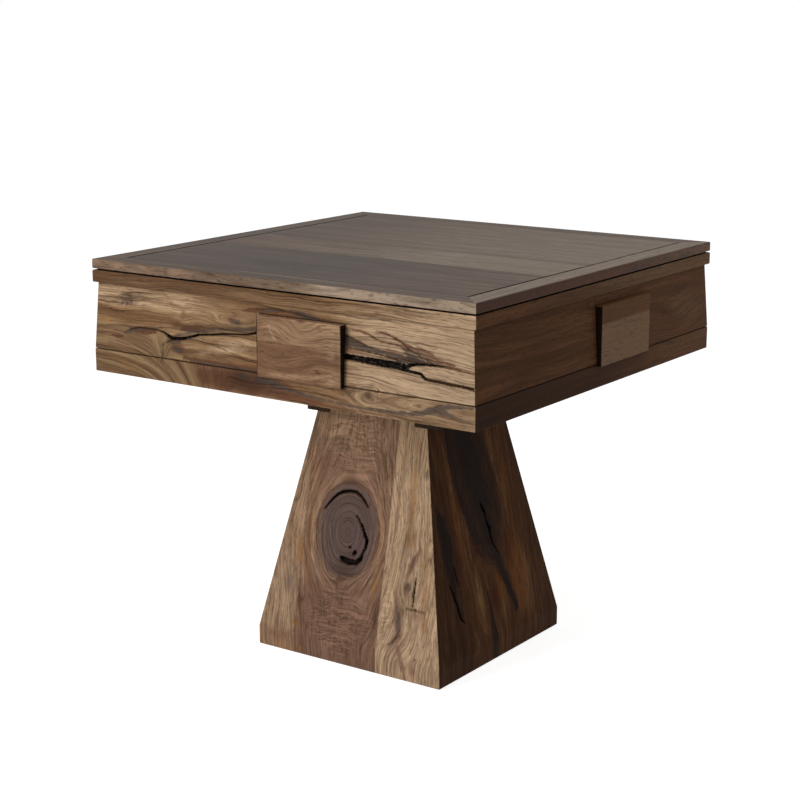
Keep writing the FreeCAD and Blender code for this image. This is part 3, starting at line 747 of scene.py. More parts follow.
PEDESTAL_FRONT = Figure(seed=5, upright=True, joints=(-125, 65), marks=(
    Knot(-25, 250, 71, 90, heart=0.5, rings=1, rim=0.15),
    Knot(121, 173, 8, 11, heart=0.4, rim=0.3),
    Knot(-43, 168, 9, 6, heart=0.3, rim=0.4),
    Swirl(118, 60, 60, 110, 34),
    # Broad colour of the three staves.
    Fade(PALE, 65, 260, ((0, 0.62), (140, 0.6), (300, 0.68), (460, 0.9))),
    Fade(PALE, -260, -125, ((0, 0.42), (80, 0.48), (300, 0.45), (460, 0.1))),
    Fade(SHADE, -125, 65, ((0, 0.25), (110, 0.3), (160, 0.05)), 4),
    Fade(PALE, -125, 65, ((360, 0), (440, 0.5)), 4),
    Fade(SHADE, -260, -125, ((0, 0.2), (300, 0.16), (460, 0.1)), 4),
    Fade(AMBER, -260, -125, ((0, 0.4), (100, 0.1), (240, 0.25), (330, 0.2))),
    Fade(RUSSET, -125, 65, ((0, 0.35), (110, 0.4), (170, 0.15), (330, 0.15), (400, 0.2),
                            (470, 0.3))),
    Patch(RUSSET, -90, 350, 34, 90, 0.5),
    Patch(RIPPLE, -30, 415, 80, 84, 1, soft=0.4),
    Patch(RIPPLE, -22, 84, 84, 78, 1, soft=0.4),
    Patch(RIPPLE, 80, 120, 16, 120, 0.6, soft=0.9),
    # The knot: a dark ring of swirling grain round a grey-violet core.
    Patch(HEART, -26, 252, 76, 100, 0.8, soft=0.22, ragged=0.03),
    Patch(HEART, -26, 257, 59, 68, 1, soft=0.1, ragged=0.02),
    Patch(SHADE, -24, 174, 60, 28, 0.5, soft=0.9),
    Patch(SHADE, -28, 344, 46, 18, 0.3, soft=0.9),
    Patch(SHADE, -2, 205, 40, 20, 0.3),
    thread(0.6, 3, (-84, 262), (-86, 240), (-78, 206), (-58, 180), (-30, 168), (4, 170), (32, 192),
           (44, 230), (42, 270)),
    thread(0.6, 3, (-88, 290), (-74, 316), (-48, 334), (-20, 338), (10, 326), (32, 300)),
    thread(0.7, 3, (-92, 300), (-98, 262), (-96, 222), (-84, 186)),
    Vein(PALE, ((-62, 350, 2), (-88, 318, 6), (-103, 260, 9), (-101, 200, 8),
                (-86, 158, 4)), 0.45, 9),
    Vein(PALE, ((30, 345, 2), (46, 300, 6), (54, 250, 8), (50, 195, 6), (36, 160, 3)), 0.4, 9),
    Vein(PALE, ((30, 460, 10), (48, 400, 12), (60, 330, 6)), 0.5, 10),
    thread(0.5, 4, (-98, 340), (-114, 280), (-115, 210), (-100, 150), (-88, 128)),
    thread(0.4, 4, (26, 420), (46, 360), (60, 300), (62, 230)),
    Vein(AMBER, ((-118, 400, 3), (-113, 300, 6), (-110, 210, 9), (-106, 130, 6)), 0.55, 9),
    Vein(RUSSET, ((-108, 168, 2), (-99, 140, 6), (-88, 112, 3)), 1, 5),
    Vein(AMBER, ((46, 330, 3), (54, 230, 8), (52, 160, 9), (40, 120, 5)), 0.5, 8),
    Vein(AMBER, ((56, 176, 3), (49, 158, 9), (46, 143, 3)), 0.9, 5),
    Vein(RUSSET, ((60, 150, 2), (62, 133, 7), (54, 108, 3)), 1, 5),
    Vein(RUSSET, ((-86, 96, 3), (-82, 62, 6), (-80, 26, 3)), 0.9),
    thread(0.6, 3, (-88, 90), (-84, 62), (-82, 40)),
    # Left stave.
    Patch(AMBER, -131, 200, 15, 52, 0.8),
    Patch(HEART, -146, 142, 26, 58, 0.5, ragged=0.25),
    Patch(AMBER, -123, 62, 18, 14, 0.9),
    Patch(RUSSET, -160, 30, 60, 34, 0.5),
    Patch(AMBER, -112, 12, 22, 10, 0.8),
    thread(0.35, 5, (-200, 60), (-170, 90), (-162, 150), width=1.6),
    # Right stave: brown shading down its middle, a small red knot and short checks.
    Vein(SHADE, ((104, 330, 10), (116, 260, 24), (118, 190, 26), (112, 120, 24),
                 (110, 60, 14)), 0.3, 22),
    Vein(AMBER, ((110, 440, 6), (112, 350, 14), (116, 250, 16)), 0.6, 16),
    Vein(RUSSET, ((82, 470, 4), (84, 380, 8), (80, 280, 8), (84, 200, 4)), 0.5, 12),
    Vein(SHADE, ((98, 470, 3), (100, 400, 5), (106, 340, 4)), 0.35, 8),
    Vein(AMBER, ((150, 300, 4), (158, 200, 14), (170, 100, 12)), 0.5, 14),
    thread(0.45, 4, (118, 330), (110, 281), (103, 230), (101, 170), (104, 140)),
    thread(0.35, 3.5, (96, 440), (102, 380), (110, 330)),
    Patch(RUSSET, 121, 172, 10, 13, 0.95, soft=0.9),
    Patch(HEART, 122, 174, 5, 6, 0.9, soft=0.7),
    Vein(RUSSET, ((142, 244, 4), (130, 228, 12), (124, 208, 10), (119, 188, 6)), 0.8, 10),
    Vein(HEART, ((138, 236, 3), (130, 226, 7), (126, 212, 6)), 0.6, 8),
    Vein(RUSSET, ((96, 160, 8), (108, 118, 22), (113, 84, 20), (94, 58, 10)), 0.5, 14),
    Vein(HEART, ((100, 146, 4), (108, 118, 14), (113, 84, 12), (96, 64, 5)), 0.62, 10),
    Vein(LINE, ((92, 62, 2), (104, 70, 3), (116, 96, 1.6)), 0.7, 3),
    Vein(RUSSET, ((112, 66, 4), (122, 42, 10), (134, 6, 8)), 0.7, 9),
    Vein(LINE, ((120, 60, 1), (130, 34, 2), (142, 8, 2)), 0.5, 3),
    Patch(RUSSET, 150, 24, 16, 26, 0.7),
    Patch(RUSSET, 144, 125, 26, 18, 0.55),
    Patch(HEART, 136, 381, 9, 20, 0.6, ragged=0.3),
    Patch(RUSSET, 154, 47, 4, 5, 1, soft=0.7),
    Split(KNOT_ARC, depth=8, halo=0.6),
    Split(KNOT_CRACK, depth=8, ragged=0.9, halo=0.4),
    Split(KNOT_HOLE, depth=6),
    Split(KNOT_DOT, depth=4),
    Split(STAVE_CHECK, depth=2.5),
    Split(STAVE_CROSS, depth=2, tone=LINE),
))

# Pedestal right: a black-grey wedge runs down into a crack, with amber streaks beside it.
WEDGE_CRACK: Route = ((1, 294, 3), (6, 284, 7), (11, 275, 5), (11, 262, 1.4),
                      (14, 251, 5), (18, 243, 9), (18, 232, 5), (20, 216, 2.2),
                      (31, 199, 1.6), (38, 188, 1.2))
LENS_CRACK: Route = ((-137, 175, 1.2), (-131, 158, 3.6), (-125, 138, 4), (-121, 118, 3.6),
                     (-117, 106, 4), (-108, 97, 1.4))
LENS_CHECK: Route = ((-113, 200, 1.2), (-112, 182, 3.4), (-110, 165, 1.6))

PEDESTAL_RIGHT = Figure(seed=6, upright=True, marks=(
    Knot(14, 240, 30, 62, heart=0.3, rings=0.8, rim=0),
    Fade(SHADE, -260, -96, ((0, 0.6), (120, 0.7), (260, 0.55), (460, 0.45)), 60),
    Fade(SHADE, 135, 260, ((0, 0.45), (120, 0.3), (460, 0.5)), 50),
    Patch(AMBER, -82, 250, 22, 190, 0.5),
    Patch(AMBER, 98, 310, 20, 130, 0.5),
    Patch(AMBER, 76, 190, 30, 60, 0.5),
    Patch(PALE, -48, 120, 22, 105, 0.85),
    Patch(PALE, -78, 60, 16, 60, 0.4),
    Patch(AMBER, 92, 130, 40, 150, 0.9),
    Patch(PALE, 104, 130, 52, 115, 0.8),
    Patch(RUSSET, 2, 120, 30, 60, 0.9),
    Patch(AMBER, 22, 130, 34, 70, 0.8),
    Patch(PALE, 26, 105, 22, 70, 0.6),
    Patch(PALE, 84, 300, 16, 90, 0.5),
    Vein(PALE, ((-92, 440, 3), (-84, 340, 8), (-76, 250, 6)), 0.45, 10),
    Patch(RUSSET, 66, 190, 26, 60, 0.6),
    Patch(RUSSET, -120, 70, 40, 60, 0.5),
    Vein(HEART, ((-30, 480, 110), (-14, 430, 140), (-8, 380, 138), (-2, 330, 132),
                 (8, 290, 126), (14, 255, 112), (12, 225, 84), (20, 200, 50), (30, 178, 32),
                 (42, 145, 24), (55, 118, 21), (66, 76, 18)), 0.7, 40),
    Vein(HEART, ((-20, 480, 60), (-12, 400, 70), (0, 300, 60), (10, 240, 46), (22, 200, 24),
                 (42, 145, 8), (62, 88, 6)), 1, 34),
    Vein(HEART, ((-66, 470, 14), (-70, 400, 20), (-62, 330, 16), (-44, 270, 20),
                 (-26, 230, 24)), 1, 10),
    Vein(SHADE, ((-30, 480, 60), (-20, 430, 70), (-10, 380, 80), (0, 310, 62), (8, 260, 46),
                 (14, 225, 34), (26, 190, 16), (44, 140, 8), (64, 85, 7)), 0.5, 34),
    Vein(HEART, ((-140, 316, 6), (-133, 290, 22), (-129, 262, 34), (-127, 235, 36),
                 (-128, 205, 28), (-127, 175, 16), (-124, 145, 10), (-116, 110, 8)), 1, 16),
    Vein(HEART, ((-20, 130, 5), (-18, 75, 12), (-18, 45, 22), (-18, 0, 20)), 1, 9),
    Vein(RUSSET, ((-102, 270, 3), (-104, 210, 6), (-104, 160, 4), (-112, 104, 3)), 0.9, 5),
    Vein(RUSSET, ((-50, 260, 6), (-44, 236, 10), (-30, 208, 6), (-10, 196, 3)), 1, 8),
    Vein(HEART, ((22, 206, 16), (40, 152, 18), (56, 114, 15), (67, 84, 15), (64, 70, 6)), 1, 7),
    Vein(SHADE, ((24, 206, 8), (42, 150, 10), (58, 112, 9), (67, 80, 8)), 0.5, 7),
    Vein(PALE, ((64, 440, 4), (60, 380, 8), (76, 300, 6)), 0.45, 10),
    Vein(PALE, ((-52, 300, 3), (-58, 250, 5), (-56, 205, 4)), 0.5, 8),
    Vein(LINE, ((74, 320, 2), (86, 260, 3), (92, 180, 2)), 0.4, 8),
    Vein(LINE, ((-30, 170, 2), (-28, 110, 4), (-24, 60, 3)), 0.5, 7),
    Split(WEDGE_CRACK, depth=7, halo=0.2),
    Split(LENS_CRACK, depth=6, halo=0.3),
    Split(LENS_CHECK, depth=4, halo=0.3),
))

PEDESTAL_BACK = Figure(seed=7, upright=True, joints=(-58, 96), marks=(
    Knot(-104, 300, 14, 20, heart=0.6),
    Knot(28, 120, 22, 28, heart=0.5),
    Fade(PALE, -260, -58, ((0, 0.5), (460, 0.7))),
    Fade(RUSSET, 96, 260, ((0, 0.45), (460, 0.3))),
    Patch(RIPPLE, 20, 300, 70, 90, 1, soft=0.6),
    Vein(HEART, ((60, 470, 12), (44, 330, 22), (36, 180, 14)), 0.6, 14),
    Vein(HEART, ((-150, 420, 4), (-120, 330, 12), (-108, 320, 6)), 0.6, 8),
    Vein(AMBER, ((130, 440, 6), (140, 300, 16), (160, 90, 14)), 0.5, 14),
    thread(0.45, 4, (-170, 60), (-140, 180), (-96, 420)),
))

PEDESTAL_LEFT = Figure(seed=8, upright=True, joints=(-20,), marks=(
    Knot(70, 330, 16, 24, heart=0.6),
    Knot(-130, 110, 12, 16, heart=0.6),
    Fade(PALE, -260, -20, ((0, 0.3), (460, 0.5))),
    Patch(RIPPLE, 70, 140, 70, 80, 1, soft=0.6),
    Vein(RUSSET, ((120, 460, 8), (110, 300, 20), (140, 60, 16)), 0.7, 12),
    Vein(HEART, ((-60, 470, 8), (-80, 280, 18), (-70, 60, 10)), 0.5, 12),
    Vein(AMBER, ((-110, 400, 6), (-130, 260, 16), (-150, 60, 10)), 0.5, 12),
))

# Handle blocks: the front one is glued from a curly pale half over a plainer brown half.
BLOCK_FIGURES = {
    "front": Figure(seed=9, marks=(
        Swirl(40, 680, 90, 34, -28),
        Swirl(70, 622, 110, 30, 18),
        Fade(PALE, 653.5, 720, ((-30, 0.25), (60, 0.4), (160, 0.55)), 1.5),
        Fade(RUSSET, 560, 653.5, ((-30, 0.4), (100, 0.3), (160, 0.1)), 1.5),
        Vein(PALE, ((-10, 592, 2), (40, 600, 7), (96, 603, 6), (150, 616, 3)), 0.6, 5),
        Vein(HEART, ((30, 600, 2), (70, 612, 5), (110, 632, 9), (150, 640, 4)), 0.45, 7),
        Patch(SHADE, 20, 634, 70, 18, 0.3),
        Patch(PALE, 134, 600, 46, 20, 0.6, tilt=14),
        Patch(PALE, 20, 598, 60, 9, 0.6, tilt=6),
        Patch(PALE, 136, 646, 20, 20, 0.5),
        Patch(HEART, 108, 613, 7, 4, 0.8, tilt=-30, soft=0.7),
        thread(0.5, 3, (92, 622), (104, 616), (118, 610), width=2.4),
        thread(0.45, 2, (-30, 653.5), (160, 653.5), width=1),
        Vein(HEART, ((-20, 617, 2), (40, 622, 3), (88, 618, 2)), 0.5, 5),
        Vein(HEART, ((40, 650, 3), (95, 648, 5), (150, 642, 3)), 0.4, 5),
        thread(0.6, 3, (20, 686), (30, 673), (46, 662)),
        Vein(PALE, ((2, 684, 2), (8, 672, 4), (18, 658, 3)), 0.9, 3),
        Vein(RUSSET, ((96, 684, 2), (110, 690, 4), (140, 688, 2)), 0.6),
        Patch(SHADE, 146, 648, 8, 60, 0.3))),
    "right": Figure(seed=10, marks=(
        Fade(SHADE, 667, 720, ((-60, 0.6), (200, 0.42)), 6),
        Fade(RUSSET, 560, 720, ((-60, 0.4), (200, 0.3)), 6),
        Fade(AMBER, 667, 720, ((-60, 0.9), (200, 0.9)), 4),
        Fade(AMBER, 560, 667, ((-60, 0.1), (60, 0.3), (200, 0.4)), 4),
        Fade(PALE, 560, 667, ((-60, 0.95), (200, 0.8)), 4))),
    "back": Figure(seed=11, marks=(
        Fade(PALE, 648, 720, ((-60, 0.6), (200, 0.4))),
        Patch(HEART, 60, 620, 60, 8, 0.4, soft=0.7))),
    "left": Figure(seed=12, marks=(
        Swirl(50, 650, 90, 40, 40),
        Patch(PALE, 60, 640, 110, 26, 0.6, soft=0.7),
        Patch(HEART, 20, 680, 60, 7, 0.4, soft=0.7))),
}


# -------- Finishes --------
class Source(Enum):
    """Where a wood finish finds the direction of the grain."""

    FIGURE = "figure"
    ALONG_X = "x"
    ALONG_Y = "y"
    ALONG_Z = "z"


AXIS_TURNS = {Source.ALONG_X: (0.0, 0.0, 0.0),
              Source.ALONG_Y: (0.0, 0.0, math.radians(-90)),
              Source.ALONG_Z: (0.0, math.radians(90), 0.0)}


@dataclass(frozen=True)
class Pattern:
    """One kind of mark in the wood, by the length and width of a single mark in millimetres."""

    name: str
    length: float
    width: float
    detail: float = 2.0
    roughness: float = 0.5

    def noise(self, tree: Tree, grain: Socket) -> Socket:
        """Spreads the marks over the wood; each reaches about twice as deep as it is wide.

        Args:
            tree: The node tree.
            grain: Grain coordinates.

        Returns:
            Noise whose waves are as large as the marks.
        """
        along, across = 1.0 / (self.length * MM), 1.0 / (self.width * MM)
        scaled = add_node(tree, VECTOR, {0: grain, 1: (along, across, 0.45 * across)},
                          operation="MULTIPLY")
        return add_node(tree, NOISE, {"Vector": scaled, "Scale": 1.0, "Detail": self.detail,
                                      "Roughness": self.roughness})


@dataclass(frozen=True)
class Wood:
    """Planed, sanded and oiled wood.

    The rings give long soft bands that end in a thin dark line, the fibres fine streaks and the
    pores short dark dashes. Oil leaves a low sheen that only shows at a flat angle. Boards that
    carry a figure are also coloured by its tones, which run out along the grain; some tones are
    painted shade in gaps and joints, and painted highlight on rubbed edges.
    """

    name: str
    slot: str
    shades: tuple[str, str, str, str]
    ring: float = 7.5
    run: float = 22.0
    contrast: float = 1.0
    late_wood: float = 0.34
    lustre: float = 0.17
    roughness: float = 0.6
    specular: float = 0.08
    russet: str = "6A4330"
    heart: str = "4C3D34"
    pale: str = "B4987A"
    amber: str = "96683A"
    line: str = "3A2618"
    crack_and_gap_shade: str = "100B08"
    grit: str = "4A4540"
    relief: float = 0.22

    def patterns(self) -> tuple[Pattern, ...]:
        """Sizes of this wood's marks; fibres and pores are drawn about twice as coarse as real."""
        return (Pattern("bands", 1.6 * self.ring * self.run, 1.6 * self.ring, 3.0, 0.6),
                Pattern("fibres", 75.0, 3.2, 3.0, 0.7),
                Pattern("pores", 18.0, 1.5, 1.0),
                Pattern("cloud", 240.0, 44.0),
                Pattern("spacing", 900.0, 5.0 * self.ring, 1.0),
                Pattern("ripple", 10.0, 70.0, 2.0, 0.6),
                Pattern("grit", 5.0, 3.5, 2.0, 0.6))

    def grain(self, tree: Tree, source: Source) -> Socket:
        """Finds how far a place lies along, across and through the grain.

        Args:
            tree: The node tree.
            source: Where the direction of the grain comes from.

        Returns:
            The grain coordinates in metres.
        """
        if source is Source.FIGURE:
            grain = add_node(tree, ATTRIBUTE, output="Vector", attribute_name="grain")
        else:
            place = add_node(tree, PLACE, output="Object")
            grain = add_node(tree, "ShaderNodeMapping",
                             {"Vector": place, "Rotation": AXIS_TURNS[source]})
        # The grain sways by some millimetres over a hand's length, and less over a finger's.
        for scales, sway_by in (((3.0, 9.0, 9.0), (0.0, 0.034, 0.02)),
                                ((14.0, 26.0, 26.0), (0.03, 0.009, 0.006))):
            slow = add_node(tree, VECTOR, {0: grain, 1: scales}, operation="MULTIPLY")
            sway = add_node(tree, NOISE, {"Vector": slow, "Scale": 1.0}, "Color")
            grain = add_node(tree, VECTOR, {0: sway, 1: sway_by, 2: grain},
                             operation="MULTIPLY_ADD")
        return grain

    def rings(self, tree: Tree, grain: Socket, spacing: Socket) -> Socket:
        """Draws the late wood: each ring darkens to a thin line and then stops short.

        Args:
            tree: The node tree.
            grain: Grain coordinates.
            spacing: Slow noise that makes rings wide and narrow.

        Returns:
            One in the darkest late wood and zero elsewhere.
        """
        per_ring = 1.0 / (self.ring * MM)
        place = add_node(tree, VECTOR, {0: grain, 1: (0.0, per_ring, 0.3 * per_ring)}, "Value",
                         operation="DOT_PRODUCT")
        phase = add_node(tree, MATH, {0: spacing, 1: 9.0, 2: place}, operation="MULTIPLY_ADD")
        within = add_node(tree, MATH, {0: phase}, operation="FRACT")
        late = add_node(tree, RAMP, {"Fac": within},
                        stops=((0.0, 0.0), (0.4, 0.0), (0.68, 0.35), (0.86, 1.0), (1.0, 0.0)))
        # Every ring is strong on some stretches and faint on others.
        count = add_node(tree, MATH, {0: phase}, operation="FLOOR")
        number = add_node(tree, "ShaderNodeCombineXYZ", {"Y": count})
        run = add_node(tree, VECTOR, {0: grain, 1: (5.0, 0.0, 0.0)}, operation="MULTIPLY")
        where = add_node(tree, VECTOR, {0: number, 1: (0.0, 3.7, 0.0), 2: run},
                         operation="MULTIPLY_ADD")
        noise = add_node(tree, NOISE, {"Vector": where, "Scale": 1.0, "Detail": 1.0})
        strength = add_node(tree, RANGE, {"Value": noise, "From Min": 0.38, "From Max": 0.62})
        return add_node(tree, MATH, {0: late, 1: strength}, operation="MULTIPLY")

    def tones(self, tree: Tree) -> dict[Tone, Socket]:
        """Reads the tones that a figured board carries.

        Args:
            tree: The node tree.

        Returns:
            The strength of each tone.
        """
        tones = {}
        for number, name in enumerate(TONE_SETS):
            carried = add_node(tree, ATTRIBUTE, output="Vector", attribute_name=name)
            split = add_node(tree, "ShaderNodeSeparateXYZ", {"Vector": carried}).node
            for part in range(3):
                tones[Tone(3 * number + part)] = split.outputs[part]
        return tones

    def stain(self, tree: Tree, colour: Socket, tones: dict[Tone, Socket],
              marks: dict[str, Socket]) -> Socket:
        """Colours the wood with its tones, whose edges run out along bands and fibres.

        Args:
            tree: The node tree.
            colour: Plain colour of the wood.
            tones: Strength of each tone.
            marks: Noise of each pattern.

        Returns:
            The stained colour.
        """
        streaks = add_node(tree, RANGE, {"Value": marks["fibres"], "From Min": 0.36,
                                         "From Max": 0.64, "To Min": 0.3, "To Max": 1.1})
        uneven = add_node(tree, MATH, {0: marks["bands"], 1: 1.0, 2: streaks},
                          operation="MULTIPLY_ADD")
        for tone, paint, most in ((PALE, self.pale, 0.9), (AMBER, self.amber, 0.85),
                                  (RUSSET, self.russet, 0.9), (HEART, self.heart, 0.92)):
            mask = add_node(tree, MATH, {0: tones[tone], 1: uneven}, operation="MULTIPLY")
            factor = add_node(tree, RANGE, {"Value": mask, "From Min": 0.05, "From Max": 1.1,
                                            "To Max": most}, interpolation_type="SMOOTHSTEP")
            colour = add_node(tree, MIX, {0: factor, 6: colour, 7: linear(paint)}, 2,
                              data_type="RGBA")
        return colour

    def plain_colour(self, tree: Tree, bands: Socket, cloud: Socket) -> Socket:
        """Colours the bands from dark to light, with slow dark clouds over them.

        Args:
            tree: The node tree.
            bands: Place between the darkest and the lightest band.
            cloud: Slow noise.

        Returns:
            The colour.
        """
        ramp = add_node(tree, RAMP, {"Fac": bands},
                        stops=[*zip((0.05, 0.35, 0.65, 0.95), map(linear, self.shades))])
        drift = add_node(tree, RANGE, {"Value": cloud, "From Min": 0.5, "From Max": 0.75,
                                       "To Max": 0.45})
        return add_node(tree, MIX, {0: drift, 6: ramp, 7: linear(self.shades[0])}, 2,
                        data_type="RGBA")

    def quiet(self, tree: Tree, bands: Socket, lines: Socket,
              curl: Socket) -> tuple[Socket, Socket]:
        """Hides bands and late wood where curly grain crosses them.

        Args:
            tree: The node tree.
            bands: Place between the darkest and the lightest band.
            lines: Late wood.
            curl: Strength of the curly grain.

        Returns:
            The quieter bands and late wood.
        """
        gap = add_node(tree, MATH, {0: 0.5, 1: bands}, operation="SUBTRACT")
        gap = add_node(tree, MATH, {0: gap, 1: curl}, operation="MULTIPLY")
        calm = add_node(tree, MATH, {0: curl, 1: -0.8, 2: 1.0}, operation="MULTIPLY_ADD")
        return (add_node(tree, MATH, {0: gap, 1: 0.7, 2: bands}, operation="MULTIPLY_ADD"),
                add_node(tree, MATH, {0: lines, 1: calm}, operation="MULTIPLY"))

    def brightness(self, tree: Tree, bands: Socket, lines: Socket, fibres: Socket) -> Socket:
        """Lets bands, fibres and late wood scale whatever colour lies there.

        Args:
            tree: The node tree.
            bands: Place between the darkest and the lightest band.
            lines: Late wood.
            fibres: Noise of the fibres.

        Returns:
            The factor that the colour is multiplied by.
        """
        level = add_node(tree, MATH, {0: bands, 1: 0.8 * self.lustre, 2: 1.0 - 0.4 * self.lustre},
                         operation="MULTIPLY_ADD")
        fine = add_node(tree, RANGE, {"Value": fibres, "From Min": 0.37, "From Max": 0.63,
                                      "To Min": 1.0 - self.lustre, "To Max": 1.0 + self.lustre})
        dim = add_node(tree, MATH, {0: lines, 1: -self.late_wood, 2: 1.0},
                       operation="MULTIPLY_ADD")
        for factor in (fine, dim):
            level = add_node(tree, MATH, {0: level, 1: factor}, operation="MULTIPLY")
        return level

    def curl(self, tree: Tree, level: Socket, height: Socket, tones: dict[Tone, Socket],
             noise: Socket) -> tuple[Socket, Socket]:
        """Adds curly grain as short waves with thin dark troughs, and wear, painted highlight and
        shade.

        Args:
            tree: The node tree.
            level: Brightness so far.
            height: Relief so far.
            tones: Strength of each tone.
            noise: Noise of the waves.

        Returns:
            The new brightness and relief.
        """
        wave = add_node(tree, RAMP, {"Fac": noise},
                        stops=((0.32, 0.2), (0.44, 0.8), (0.495, 0.0), (0.55, 0.75), (0.68, 1.0)))
        swell = add_node(tree, MATH, {0: wave, 1: 0.5}, operation="SUBTRACT")
        swell = add_node(tree, MATH, {0: swell, 1: tones[RIPPLE]}, operation="MULTIPLY")
        height = add_node(tree, MATH, {0: swell, 1: 1.5, 2: height}, operation="MULTIPLY_ADD")
        for amount, most in ((swell, 0.8), (tones[WEAR_AND_HIGHLIGHT], 0.4)):
            level = add_node(tree, MATH, {0: amount, 1: most, 2: level}, operation="MULTIPLY_ADD")
        shade = add_node(tree, MATH, {0: tones[SHADE], 1: -0.7, 2: 1.0}, operation="MULTIPLY_ADD")
        level = add_node(tree, MATH, {0: level, 1: shade}, operation="MULTIPLY")
        return level, height

    def blacken(self, tree: Tree, colour: Socket, rough: Socket, tones: dict[Tone, Socket],
                noise: Socket) -> tuple[Socket, Socket]:
        """Adds dark lines, partly painted shade, and near black in open cracks with grey grit and
        in painted-shade gaps.

        Args:
            tree: The node tree.
            colour: Colour so far.
            rough: Roughness so far.
            tones: Strength of each tone.
            noise: Noise of the grit.

        Returns:
            The new colour and roughness.
        """
        grit = add_node(tree, RANGE, {"Value": noise, "From Min": 0.52, "From Max": 0.72})
        inside = add_node(tree, MIX, {0: grit, 6: linear(self.crack_and_gap_shade), 7: linear(self.grit)}, 2,
                          data_type="RGBA")
        for tone, paint, low, high in ((LINE, linear(self.line), 0.05, 0.85),
                                       (CRACK_AND_GAP_SHADE, inside, 0.3, 0.7)):
            factor = add_node(tree, RANGE, {"Value": tones[tone], "From Min": low,
                                            "From Max": high}, interpolation_type="SMOOTHSTEP")
            colour = add_node(tree, MIX, {0: factor, 6: colour, 7: paint}, 2, data_type="RGBA")
        rough = add_node(tree, MATH, {0: factor, 1: 0.35, 2: rough},
                         operation="MULTIPLY_ADD", use_clamp=True)
        return colour, rough

    def material(self, source: Source = Source.FIGURE) -> bpy.types.Material:
        """Builds the node material.

        Args:
            source: Where the direction of the grain comes from.

        Returns:
            The finished material.
        """
        material = new_material(f"{self.name}_{source.value}")
        tree = material.node_tree
        grain = self.grain(tree, source)
        marks = {pattern.name: pattern.noise(tree, grain) for pattern in self.patterns()}
        lines = self.rings(tree, grain, marks["spacing"])
        reach = 0.2 / self.contrast
        bands = add_node(tree, RANGE, {"Value": marks["bands"], "From Min": 0.5 - reach,
                                       "From Max": 0.5 + reach})
        tones = self.tones(tree) if source is Source.FIGURE else {}
        if tones:
            bands, lines = self.quiet(tree, bands, lines, tones[RIPPLE])
        colour = self.plain_colour(tree, bands, marks["cloud"])
        level = self.brightness(tree, bands, lines, marks["fibres"])
        height = add_node(tree, MATH, {0: marks["fibres"], 1: 0.6, 2: bands},
                          operation="MULTIPLY_ADD")
        if tones:
            colour = self.stain(tree, colour, tones, marks)
            level, height = self.curl(tree, level, height, tones, marks["ripple"])
        colour = add_node(tree, VECTOR, {0: colour, "Scale": level}, operation="SCALE")
        dashes = add_node(tree, RANGE, {"Value": marks["pores"], "From Min": 0.58,
                                        "From Max": 0.7, "To Max": 0.5})
        colour = add_node(tree, MIX, {0: dashes, 6: colour, 7: linear(self.line)}, 2,
                          data_type="RGBA")
        rough = add_node(tree, RANGE, {"Value": marks["fibres"], "To Min": self.roughness - 0.07,
                                       "To Max": self.roughness + 0.07})
        if tones:
            colour, rough = self.blacken(tree, colour, rough, tones, marks["grit"])
        height = add_node(tree, MATH, {0: dashes, 1: -1.2, 2: height}, operation="MULTIPLY_ADD")
        bump = add_node(tree, BUMP, {"Height": height, "Strength": 0.6,
                                     "Distance": self.relief * MM})
        surface = add_node(tree, SURFACE, {"Base Color": colour, "Roughness": rough,
                                           "Normal": bump, "IOR": 1.5,
                                           "Specular IOR Level": self.specular})
        add_node(tree, OUTPUT, {"Surface": surface})
        return material


@dataclass(frozen=True)
class Plywood(Wood):
    """Birch plywood: broad pale face veneer with very soft bands."""

    def patterns(self) -> tuple[Pattern, ...]:
        """Rotary-cut veneer has wide lazy bands instead of close rings."""
        return (Pattern("bands", 420.0, 34.0), Pattern("fibres", 60.0, 2.0, 2.0, 0.6),
                Pattern("pores", 12.0, 0.9, 1.0), Pattern("cloud", 300.0, 120.0),
                Pattern("spacing", 900.0, 90.0, 1.0))


@dataclass(frozen=True)
class Speckled:
    """Even material with fine specks of a second colour, drawn coarser than they really are."""

    name: str
    slot: str
    colour: str
    speck: str
    speck_mm: float
    relief: float
    rough: tuple[float, float]
    cloud_mm: float = 0.0
    shader: tuple[tuple[str, float], ...] = ()

    def material(self) -> bpy.types.Material:
        """Builds the node material.

        Returns:
            The finished material.
        """
        material = new_material(self.name)
        tree = material.node_tree
        place = add_node(tree, PLACE, output="Object")
        specks = add_node(tree, NOISE, {"Vector": place, "Detail": 3.0,
                                        "Scale": 1.0 / (self.speck_mm * MM)})
        share = specks
        if self.cloud_mm:
            clouds = add_node(tree, NOISE, {"Vector": place, "Scale": 1.0 / (self.cloud_mm * MM)})
            both = add_node(tree, MATH, {0: specks, 1: 0.7, 2: clouds}, operation="MULTIPLY_ADD")
            share = add_node(tree, RANGE, {"Value": both, "From Min": 0.6, "From Max": 1.1})
        colour = add_node(tree, MIX, {0: share, 6: linear(self.colour), 7: linear(self.speck)}, 2,
                          data_type="RGBA")
        rough = add_node(tree, RANGE, {"Value": specks, "To Min": self.rough[0],
                                       "To Max": self.rough[1]})
        bump = add_node(tree, BUMP, {"Height": specks, "Strength": 0.5,
                                     "Distance": self.relief * MM})
        surface = add_node(tree, SURFACE, {"Base Color": colour, "Roughness": rough,
                                           "Normal": bump, **dict(self.shader)})
        add_node(tree, OUTPUT, {"Surface": surface})
        return material


# Napped wool baize: a soft matt pile with faint cloudy strokes, and a bloom at a flat angle.
BAIZE = Speckled("baize", "playing_cloth", "2F5B44", "3F7055", speck_mm=1.6, relief=0.5,
                 rough=(0.92, 0.98), cloud_mm=55.0,
                 shader=(("Specular IOR Level", 0.15), ("Sheen Weight", 0.35),
                         ("Sheen Roughness", 0.5)))
